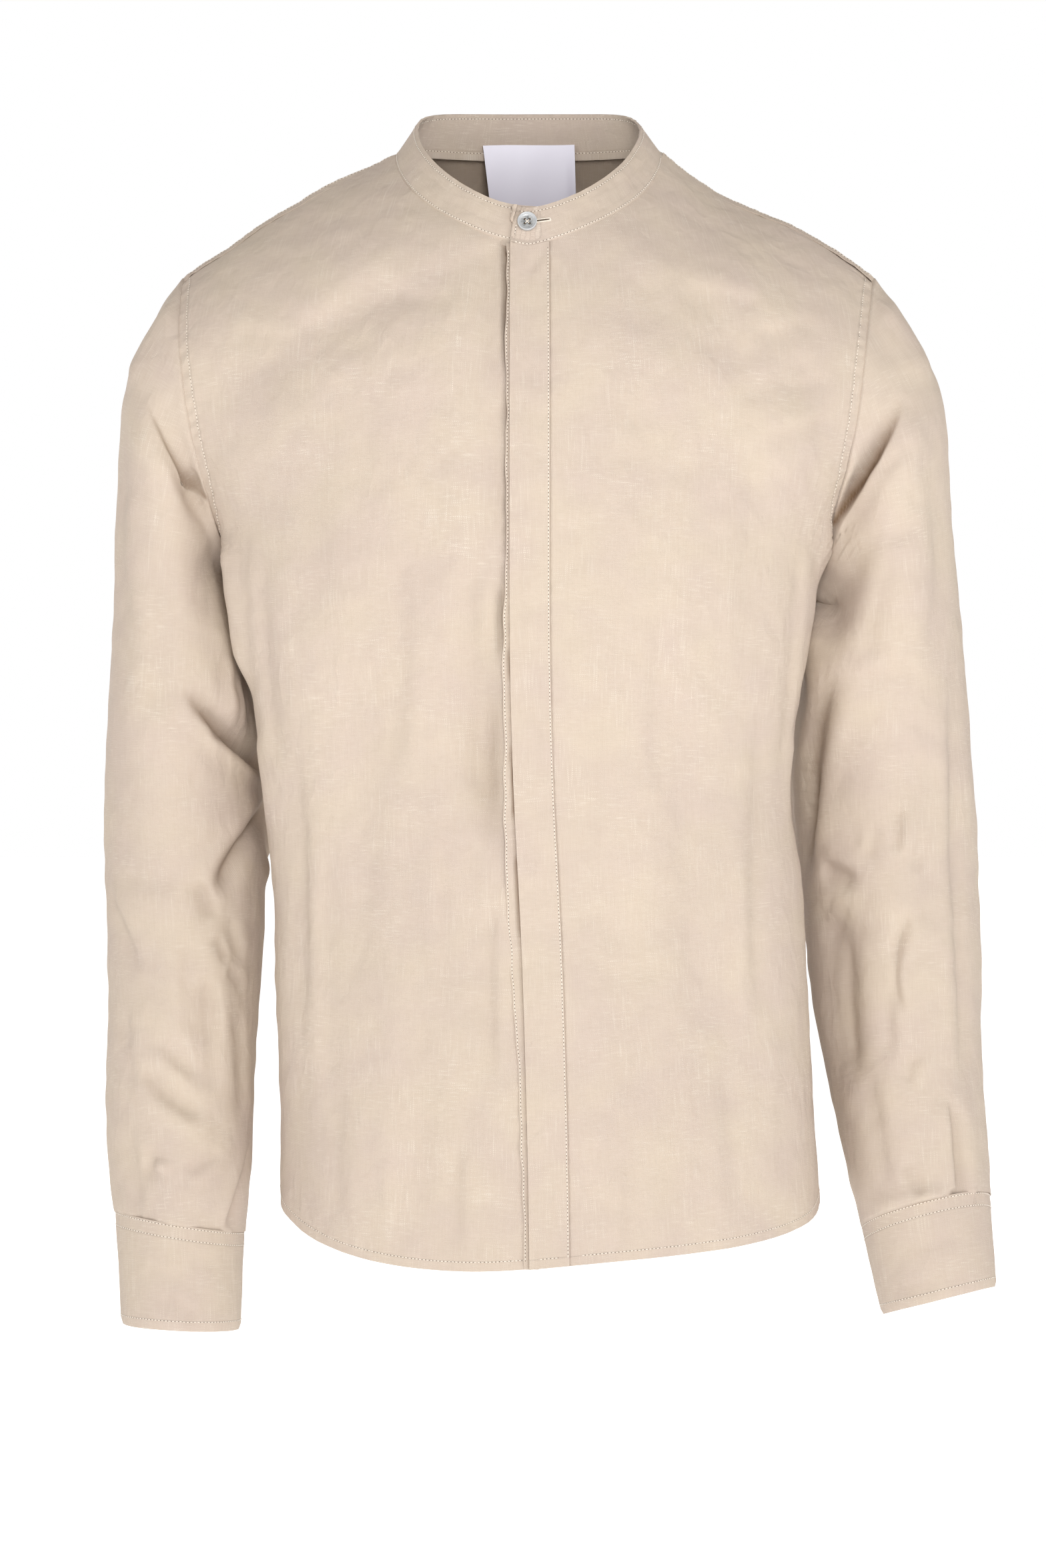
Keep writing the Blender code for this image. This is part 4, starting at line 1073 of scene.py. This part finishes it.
data = bpy.data.meshes.new("placket_under_layer")
data.from_pydata(points.reshape(-1, 3), [], quads)
under_layer = add_object("placket_under_layer", data)
data.uv_layers.new(name="cut")
lay_strip(under_layer, (-12, -110, -400))
share = np.tile(np.arange(UNDER_ROWS) / (UNDER_ROWS - 1), count)
height = np.repeat(line[:, 2] / MM, UNDER_ROWS)
from_fold = share * (np.repeat(width, UNDER_ROWS) + UNDER_INSIDE) - UNDER_INSIDE
# Painted shade beside the fold and in the gaps, fading out across the layer.
painted_shade = np.full(len(height), FOLD_PAINTED_SHADE)
for low, high in SLIVERS:
    painted_shade += SLIVER_PAINTED_SHADE * ease((height - low) / SLIVER_FADE) * ease((high - height) / SLIVER_FADE)
write_mark(under_layer, "painted_shade", painted_shade * ease(1 - from_fold / SLIVER_WIDE))
for run, insets in sewn_edges(under_layer, (((-18, -110, -400), (1.1,), 0.12, 0.0, 0.0),), 35):
    sew(*beside(under_layer, run, insets[0]))
finish_cloth(under_layer, None)

# --- Sleeves ----------------------------------------------------------------------------------------
# Each is one tube of linen with its seam under the arm, set into the armhole, creased at the elbow,
# and pleated into its cuff. A narrow slit opens it behind the arm above the cuff.

RIGHT_SLEEVE_CREASES = (
    (-250, -162, -231, -201, -203, -238, 2.6, 2.6, -0.5, 0.6, 0.6, 0.04),
    (-246, -166, -229, -198, -212, -222, 9, 1.2, 0, 1.0, 0.5, 0.4),
    (-207, -262, -201, -330, -192, -396, 15, -8.0, 0, 1.0),
    (-226, -350, -198, -385, -164, -420, 9, 8.5, -2.4, 0.4, 0.4, 0.15),
    (-168, -422, -190, -456, -206, -492, 9, 8.0, -1.8, 0.6, 0.3, 0.3),
    (-214, -478, -211, -491, -204, -503, 9, 4.5, 1.2, 0.4),
    (-204, -515, -201, -524, -196, -532, 5, 2.6, 0.9, 0.5),
    (-197, -536, -191, -543, -185, -549, 5, 2.4, 0.9, 0.5),
    (-211, -540, -207, -562, -206, -588, 7, 2.6, 1.0, 0.5),
    (-176.5, -408, -173.5, -440, -178, -484, 11, -9.0, 0, 1.0),
    (-211, -380, -196, -392, -178, -410, 5, 3.0, -1.0, 0.4),
    (-268, -476, -246, -479, -226, -480, 9, 1.4, -0.6, 0.8),
    (-276, -484, -267, -509, -254, -540, 8, 2.0, 1.2, 0.5),
    (-256, -597, -234, -620, -209, -633, 8, 3.4, -1.3, 0.6),
    (-241, -582, -228, -597, -213, -606, 7, 2.2, -0.9, 0.6),
    (-224, -670, -212, -663, -200, -656, 6, 1.8, -0.8, 0.6),
    (-184, -648, -191, -680, -198, -710, 7, 3.8, -1.7, 0.25),
    (-224, -98, -246, -122, -262, -160, 17, -4.5, 0, 1.0),
    (-196, -500, -192, -520, -186, -532, 8, 2.0, 0.9, 0.5),
    (-212, -540, -206, -580, -208, -622, 10, 2.4, 1.0, 0.5),
    (-192, -560, -188, -600, -190, -640, 8, 1.8, 0.9, 0.5),
    (-206, -330, -203, -352, -202, -372, 5, 1.8, 0.9, 0.5),
    (-262, -560, -262, -590, -256, -618, 8, 1.4, 0.7, 0.6),
    (-262, -200, -268, -260, -262, -330, 15, 2.0, 0.9, 0.6),
    (-248, -262, -240, -320, -250, -380, 13, 1.8, -0.8, 0.7),
    (-199, -336, -195, -362, -191, -388, 4, 1.3, 0.7, 0.6),
    (-191, -338, -187, -362, -184, -384, 4, 1.2, 0.7, 0.6),
    (-205, -250, -206, -290, -200, -330, 8, 1.2, -0.6, 0.8),
    (-220, -510, -222, -550, -214, -590, 10, 1.8, -0.8, 0.6),
    (-262, -640, -258, -670, -254, -700, 8, 1.6, 0.8, 0.6),
)
LEFT_SLEEVE_CREASES = (
    (246, -158, 224, -205, 197, -248, 5.5, 7.5, 2.0, 0.36, 0.55, 0.03),
    (207, -338, 189, -400, 184, -484, 11, 9.5, 1.5, 0.8, 0.35, 0.25),
    (192, -472, 203, -475, 219, -480, 9, 5.0, 1.6, 0.6, 0.3, 0.4),
    (199, -488, 201, -550, 209, -624, 19, 8.0, 0, 1.0),
    (248, -503, 241, -535, 246, -567, 3.5, 1.8, 0.7, 0.5),
    (279, -330, 281, -480, 283, -628, 9, 2.4, -1.1, 0.5),
    (207, -240, 199, -320, 181, -440, 15, -8.0, 0, 1.0, 0.2, 0.2),
    (212, -300, 204, -350, 196, -400, 14, -3.0, 0, 1.0),
    (216, -352, 234, -344, 260, -343, 8, 1.6, 0.6, 0.7),
    (243, -428, 242, -446, 240, -462, 7, 2.6, 0.9, 0.5),
    (258, -446, 257, -460, 256, -474, 6, 1.6, 0.6, 0.6),
    (228, -440, 226, -452, 221, -468, 6, 1.6, -0.6, 0.6),
    (249, -498, 245, -516, 240, -534, 6, 1.8, 0.7, 0.6),
    (244, -660, 250, -672, 256, -684, 7, 2.4, -0.9, 0.5),
    (252, -592, 249, -602, 246, -612, 6, 1.4, 0.6, 0.6),
    (274, -620, 277.5, -650, 282, -692, 7, 3.6, -1.6, 0.25),
    (271, -330, 273, -480, 275, -628, 9, -1.3, 0, 1.0),
    (222, -696, 252, -685, 284, -681, 6, -2.4, 0, 1.0),
    (228, -98, 246, -120, 263, -156, 17, -5.0, 0, 1.0),
    (206, -262, 204, -300, 206, -330, 10, 0.9, -0.6, 0.8),
    (250, -190, 240, -204, 226, -212, 8, 1.6, -0.8, 0.5),
    (256, -240, 246, -252, 230, -256, 8, 1.4, 0.7, 0.6),
    (208, -510, 206, -560, 212, -610, 9, 2.2, -1.0, 0.5),
    (238, -540, 236, -570, 236, -600, 7, 1.4, 0.7, 0.6),
    (262, -200, 270, -270, 262, -340, 15, 2.0, -0.9, 0.6),
    (244, -256, 228, -300, 222, -340, 10, 1.8, -0.8, 0.6),
    (222, -600, 228, -640, 236, -690, 9, 1.6, 0.8, 0.6),
)
BACK_ARM_CREASES = (
    # for the left arm, seen from behind; the right arm has them mirrored
    (250, -176, 232, -216, 204, -246, 13, 5.5, -2.0, 0.35),
    (284, -372, 252, -396, 216, -404, 11, 4.0, 1.6, 0.4),
    (200, -430, 232, -452, 270, -456, 11, 4.4, 1.6, 0.4),
    (222, -488, 250, -502, 284, -508, 9, 2.6, 1.0, 0.5),
    (236, -600, 258, -622, 282, -632, 9, 2.4, -0.9, 0.5),
    (244, -290, 266, -330, 278, -370, 12, 2.0, 0.8, 0.6),
    (230, -540, 252, -558, 276, -560, 9, 1.8, -0.7, 0.6),
    (254, -650, 257, -676, 262, -700, 7, 2.6, -1.2, 0.3),
)
INNER_ARM_RIDGES = {
    # seen from behind, where the cloth of the arm fills out towards the body
    1: (
        (201, -256, 190, -325, 184, -400, 16, -9.5, 0, 1.0, 0.1, 0.3),
        (183, -375, 184, -425, 188, -480, 15, -8.0, 0, 1.0, 0.3, 0.3),
    ),
    -1: (
        (-208, -268, -203, -290, -194, -322, 12, -5.0, 0, 1.0, 0.3, 0.3),
        (-184, -370, -182, -425, -182, -488, 15, -9.0, 0, 1.0, 0.3, 0.3),
    ),
}
RIGHT_ARM_SHIFT = 10     # mm by which the right arm hangs closer than the left
MIRRORED_ARM_CREASES = tuple(
    (RIGHT_ARM_SHIFT - x, z, RIGHT_ARM_SHIFT - x2, z2, RIGHT_ARM_SHIFT - x3, z3, width, depth, -bank, drop)
    for x, z, x2, z2, x3, z3, width, depth, bank, drop in BACK_ARM_CREASES
)
for side, node, creases, behind in (
    (-1, "sleeve_right", RIGHT_SLEEVE_CREASES, MIRRORED_ARM_CREASES),
    (1, "sleeve_left", LEFT_SLEEVE_CREASES, BACK_ARM_CREASES),
):
    armhole, wrist = (228 * side, -38, -128), (232 * side, -40, -705)
    make_panel(
        node,
        ((creases, -1), (behind + INNER_ARM_RIDGES[side], 1)),
        ((armhole, (), 0.12, 0.0, UNDER), (wrist, (), 0.25, SEAM_REACH, MEET)),
        41 + side,
        holds=((armhole, 7.0),),
        unders=((armhole, 4.0, 1.6), (wrist, 7.0, 3.2)),
        cut_open=True,
    )

# --- Cuffs ------------------------------------------------------------------------------------------
# Two layers of linen round the wrist, stitched near every edge. The ends overlap behind the arm.

RIGHT_CUFF_CREASES = (
    (-238, -746, -226, -755, -212, -762, 6, 1.8, 0.8, 0.5),
    (-250, -728, -238, -734, -224, -737, 6, 1.0, 0.5, 0.6),
    (-222, -724, -212, -726, -202, -724, 6, 0.8, 0.4, 0.7),
)
LEFT_CUFF_CREASES = (
    (236, -741, 250, -744, 268, -738, 5, 1.6, 0.7, 0.5),
    (240, -716, 262, -714, 284, -706, 6, 1.0, 0.5, 0.7),
)
cuffs = []
for side, node, creases in (
    (-1, "cuff_right", RIGHT_CUFF_CREASES),
    (1, "cuff_left", LEFT_CUFF_CREASES),
):
    low, high = (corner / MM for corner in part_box(node))
    middle = (low + high) / 2
    cuff = make_panel(
        node,
        ((creases, -1),),
        (
            ((middle.x, low.y, low.z), (6.5,), 0.14, 0.0, 1.3),
            ((middle.x, low.y, high.z), (1.3, 9.0), 0.16, SEAM_REACH, MEET),
        ),
        51 + side,
        broad=0.5,
        thick=DOUBLE_THICK,
    )
    cuffs.append(cuff)

# --- Collar band ------------------------------------------------------------------------------------
# Two layers of linen that stand round the neck, stitched near every edge. The left end laps over the
# right one and buttons there.

BAND_CREASES = (
    (-46, -36, -42, -44, -40, -50, 6, 0.8, 0.4, 0.6),
    (30, -54, 34, -46, 38, -38, 6, 0.8, 0.4, 0.6),
    (-70, -8, -66, -20, -60, -30, 6, 0.8, -0.4, 0.6),
    (66, -30, 70, -18, 72, -6, 6, 0.8, 0.4, 0.6),
)
band = make_panel(
    "collar_band",
    ((BAND_CREASES, -1),),
    (
        ((0, -77, -45), (3.0,), 0.20, 0.0, 0.3),
        ((-13, -84, -58), (2.5,), 0.05, 0.0, 0.3),
        ((0, -85, -71), (1.3,), 0.12, SEAM_REACH, 0.0),
    ),
    61,
    broad=0.6,
    unders=(((0, -85, -71), 3.5, 1.8),),
    thick=DOUBLE_THICK,
    strip_along=(0, -85, -71),
)
make_stitches("topstitching")

# --- Buttons ----------------------------------------------------------------------------------------
# Grey pearly buttons with a raised rim, a dished face and four holes, sewn on with pale thread: one
# on the collar band and one on each cuff. Each has a stitched hole in the cloth beside it.

BUTTON_STEPS = (
    # from the edge in: how wide each ring of the face is, and how far it drops
    (0.8 * MM, 0.0),
    (0.56 * MM, 1.0 * MM),
    (1.28 * MM, 0.25 * MM),
)
THREAD_DROP = 1.2 * MM   # how far under the rim the thread lies in the dish
BUTTON_HOLE = 0.85 * MM
BUTTON_PITCH = 1.45 * MM     # from the middle to a hole, along each of its two axes
BUTTON_SIDES = 48
BUTTON_SOFT = 0.42 * MM
# Painted shade: a dark disc lies at the bottom of each hole, this far under the face.
BOTTOM_DROP = 0.4 * MM   # how far under its face the dark of a hole lies
# Painted highlight: the raised rim is coloured lighter than the dished face, where it catches the light.
RIM_FROM = 0.62          # share of the radius at which the bright rim begins
RIM_FADE = 0.16
SWIRL = 260.0
HORN_DARK = (0.16, 0.165, 0.17, 1.0)
HORN_PALE = (0.42, 0.42, 0.415, 1.0)
HORN_RIM_HIGHLIGHT = (0.44, 0.45, 0.46, 1.0)

horn, tree, shader = new_material("grey horn")
shader.inputs["Roughness"].default_value = 0.26
shader.inputs["Coat Weight"].default_value = 0.5
shader.inputs["Coat Roughness"].default_value = 0.12
swirl = noise(tree, object_place(tree), SWIRL, distortion=1.5)
greys = colour_ramp(tree, swirl, (0.35, HORN_DARK), (0.7, HORN_PALE))
# Painted highlight: the rim is blended towards a lighter grey.
tree.links.new(blend_colours(tree, mark_of(tree, "rim"), greys, HORN_RIM_HIGHLIGHT), shader.inputs["Base Color"])


def select_faces(piece, wanted):
    """Selects the faces of a piece that this says yes to, and goes into edit mode."""
    for part in (*piece.data.vertices, *piece.data.edges):
        part.select = False
    for face in piece.data.polygons:
        face.select = wanted(face)
    bpy.ops.object.mode_set(mode="EDIT")
    bpy.ops.mesh.select_mode(type="FACE")


def make_button(node, carrier):
    """A button where the solid is, facing away from the piece that it is sewn to."""
    points = read_points(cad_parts[node])
    centre = points.mean(axis=0)
    axis = np.linalg.svd(points - centre)[2][2]
    away = centre - read_points(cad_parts[carrier]).mean(axis=0)
    axis *= np.sign(axis @ away)
    along = (points - centre) @ axis
    radius = np.linalg.norm(points - centre - along[:, None] * axis, axis=1).max()
    low, depth = along.min(), along.max() - along.min()
    bpy.ops.object.select_all(action="DESELECT")
    bpy.ops.mesh.primitive_cylinder_add(
        vertices=BUTTON_SIDES, radius=radius, depth=depth, location=(0, 0, depth / 2)
    )
    button = bpy.context.object
    bpy.ops.object.transform_apply(location=True)
    select_faces(button, lambda face: face.normal.z > 0.9)
    for inset, drop in BUTTON_STEPS:
        bpy.ops.mesh.inset(thickness=inset)
        bpy.ops.transform.translate(value=(0, 0, -drop))
    bpy.ops.object.mode_set(mode="OBJECT")
    soften = button.modifiers.new("soft edges", "BEVEL")
    soften.width = BUTTON_SOFT
    soften.segments = 3
    soften.limit_method = "ANGLE"
    soften.angle_limit = math.radians(30)
    bpy.ops.object.modifier_apply(modifier=soften.name)
    for x, y in ((1, 1), (-1, 1), (-1, -1), (1, -1)):
        spot = (x * BUTTON_PITCH, y * BUTTON_PITCH, 0)
        bpy.ops.mesh.primitive_cylinder_add(vertices=16, radius=BUTTON_HOLE, depth=4 * depth, location=spot)
        peg = bpy.context.object
        bpy.context.view_layer.objects.active = button
        cut = button.modifiers.new("hole", "BOOLEAN")
        cut.object = peg
        bpy.ops.object.modifier_apply(modifier=cut.name)
        bpy.data.objects.remove(peg)
    # Painted highlight: a mark that is 1 on the rim and 0 in the dish.
    reach = np.linalg.norm(read_points(button)[:, :2], axis=1)
    write_mark(button, "rim", ease((reach / radius - RIM_FROM) / RIM_FADE))
    turn = Vector(axis).to_track_quat("Z", "Y").to_matrix()
    base = centre + low * axis
    for vertex in button.data.vertices:
        vertex.co = Vector(base) + turn @ vertex.co
    button.name = node + "_turned"
    pick(button)
    bpy.ops.object.shade_smooth_by_angle(angle=math.radians(40))
    button.data.materials.clear()
    button.data.materials.append(horn)
    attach(button, "root")
    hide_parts(node)
    face = np.array(turn @ Vector((0, 0, depth - THREAD_DROP)))
    hands = [np.array(turn @ Vector(way)) * BUTTON_PITCH for way in ((1, 0, 0), (0, 1, 0))]
    corners = [base + face + a * hands[0] + b * hands[1] for a, b in ((1, 1), (-1, -1), (1, -1), (-1, 1))]
    for start, stop in (corners[:2], corners[2:]):
        sewing.append((start[None], stop[None], axis[None]))
    # Painted shade: a dark disc at the bottom of each of the four holes.
    axes = [np.tile(hand * BUTTON_HOLE / BUTTON_PITCH, (4, 1)) for hand in hands] + [np.tile(axis, (4, 1))]
    bottoms = np.array(corners) - BOTTOM_DROP * axis
    join_copies(node + "_holes", disc(8), [tuple(range(8))], bottoms, axes, shadow)
    return centre, axis


BUTTONHOLE_STITCHES = 30
BUTTONHOLE_REACH = (0.4, 1.35)   # mm from the slit to each end of its stitches
BAR_STITCHES = (-0.35, 0.0, 0.35)    # mm from the end of the slit
# Painted shade: the dark disc in the slit, its half width and how far it stands above the cloth.
SLIT_WIDE = 0.5 * MM
SLIT_PROUD = 0.16 * MM


def make_buttonhole(cloth, start, stop):
    """Close stitches round a slit that runs between two points near the cloth, and a dark disc of painted
    shade in its opening.
    """
    tree = tree_of(cloth)
    share = np.linspace(0, 1, BUTTONHOLE_STITCHES)[:, None]
    found = [tree.find_nearest(Vector(spot)) for spot in start + share * (stop - start)]
    spots, facing = (np.array([hit[part] for hit in found]) for part in range(2))
    along = (spots[-1] - spots[0]) / np.linalg.norm(spots[-1] - spots[0])
    across = np.cross(facing, along)
    for side in (-1, 1):
        near, far = (spots + side * reach * MM * across for reach in BUTTONHOLE_REACH)
        sewing.append((near, far, facing))
    for end in (0, -1):
        reach = BUTTONHOLE_REACH[1] * MM * across[end]
        for nudge in BAR_STITCHES:
            shift = spots[end] + nudge * MM * along
            sewing.append((shift[None] - reach, shift[None] + reach, facing[end][None]))
    middle, normal = spots.mean(axis=0)[None], facing[len(facing) // 2][None]
    half = np.linalg.norm(spots[-1] - spots[0]) / 2
    axes = (along[None] * half, across[len(across) // 2][None] * SLIT_WIDE, normal)
    join_copies(
        cloth.name + "_slit_shade", disc(18), [tuple(range(18))], middle + SLIT_PROUD * normal, axes, shadow
    )


centre, axis = make_button("collar_button", "collar_band")
right = np.array((1.0, 0.0, 0.16))
make_buttonhole(band, centre + 1.5 * MM * right, centre + 15.0 * MM * right)
for side, cloth in zip(("right", "left"), cuffs):
    centre, axis = make_button("cuff_button_" + side, "cuff_" + side)
    round_arm = np.cross(axis, (0, 0, 1))
    round_arm /= np.linalg.norm(round_arm)
    make_buttonhole(cloth, centre - 8.5 * MM * round_arm, centre + 8.5 * MM * round_arm)
make_stitches("button_thread", with_hole_shade=False)

# --- Label ------------------------------------------------------------------------------------------
# A blank white woven rectangle, sewn in over the seam of the band at the back of the neck. It hangs a
# little away from the shirt and curls forward at one side.

LABEL_CORNERS = ((-30.4, 13.0), (31.0, 14.0), (32.2, -30.0), (-25.2, -30.0))
LABEL_Y = 57.2           # mm: where it hangs, how far its sides bow forward, and its foot swings
LABEL_BOW = 2.6
LABEL_SWING = 2.4
LABEL_CURL = 1.6
CURL_FROM = 0.9          # share of its width from which it curls
LABEL_RIPPLE = 0.35
LABEL_SAG = 0.4
LABEL_WHITE = (0.80, 0.78, 0.88, 1.0)
LABEL_PAINTED_SHADE = (0.55, 0.52, 0.60, 1.0)
LABEL_COLUMNS = 40
LABEL_ROWS = 28
LABEL_THICK = 0.4 * MM
# Painted shade: below this height the label's white darkens towards grey over the next height, deeper in
# the neck.
LABEL_TOP = 0.012        # metres: the white begins to fade here, over the height given next
LABEL_SHADE_HEIGHT = 0.045
SATIN_PITCH = 0.3 * MM
SATIN_HEIGHT = 0.04 * MM

satin, tree, shader = new_material("white satin")
split = tree.nodes.new("ShaderNodeSeparateXYZ")
tree.links.new(object_place(tree), split.inputs[0])
# Painted shade: the label darkens towards its foot.
fade = maths(tree, "MULTIPLY", maths(tree, "SUBTRACT", LABEL_TOP, split.outputs["Z"]), 1 / LABEL_SHADE_HEIGHT)
fade = maths(tree, "POWER", clamp(tree, fade), 1.5)
tree.links.new(blend_colours(tree, fade, LABEL_WHITE, LABEL_PAINTED_SHADE), shader.inputs["Base Color"])
shader.inputs["Roughness"].default_value = 0.42
shader.inputs["Sheen Weight"].default_value = 0.3
cloth = weave_on(tree, SATIN_PITCH)
raise_surface(tree, shader, maths(tree, "MULTIPLY", cloth.outputs["Height"], SATIN_HEIGHT), 0.3)

bpy.ops.object.select_all(action="DESELECT")
bpy.ops.mesh.primitive_grid_add(x_subdivisions=LABEL_COLUMNS, y_subdivisions=LABEL_ROWS, size=1)
label = bpy.context.object
label.name = "label_satin"
places = read_points(label)
u, v = places[:, 0] + 0.5, 0.5 - places[:, 1]
top = np.array(LABEL_CORNERS[0]) + u[:, None] * (np.array(LABEL_CORNERS[1]) - LABEL_CORNERS[0])
foot = np.array(LABEL_CORNERS[3]) + u[:, None] * (np.array(LABEL_CORNERS[2]) - LABEL_CORNERS[3])
flat = top + v[:, None] * (foot - top)
y = LABEL_Y - LABEL_BOW * (2 * u - 1) ** 2 - LABEL_SWING * v**1.5
y -= LABEL_CURL * ease((u - CURL_FROM) / (1 - CURL_FROM)) * v + LABEL_RIPPLE * np.sin(9 * u + 3 * v)
points = np.stack([flat[:, 0], y, flat[:, 1] + LABEL_SAG * np.sin(5 * u)], axis=1) * MM
write_points(label, points)
data = label.data
data.uv_layers.active.name = "cut"
write_cut(data, flat * MM)
give_wall(label, LABEL_THICK)
bpy.ops.object.shade_smooth_by_angle(angle=RIM_ANGLE)
data.materials.clear()
data.materials.append(satin)
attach(label, "root")
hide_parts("label")
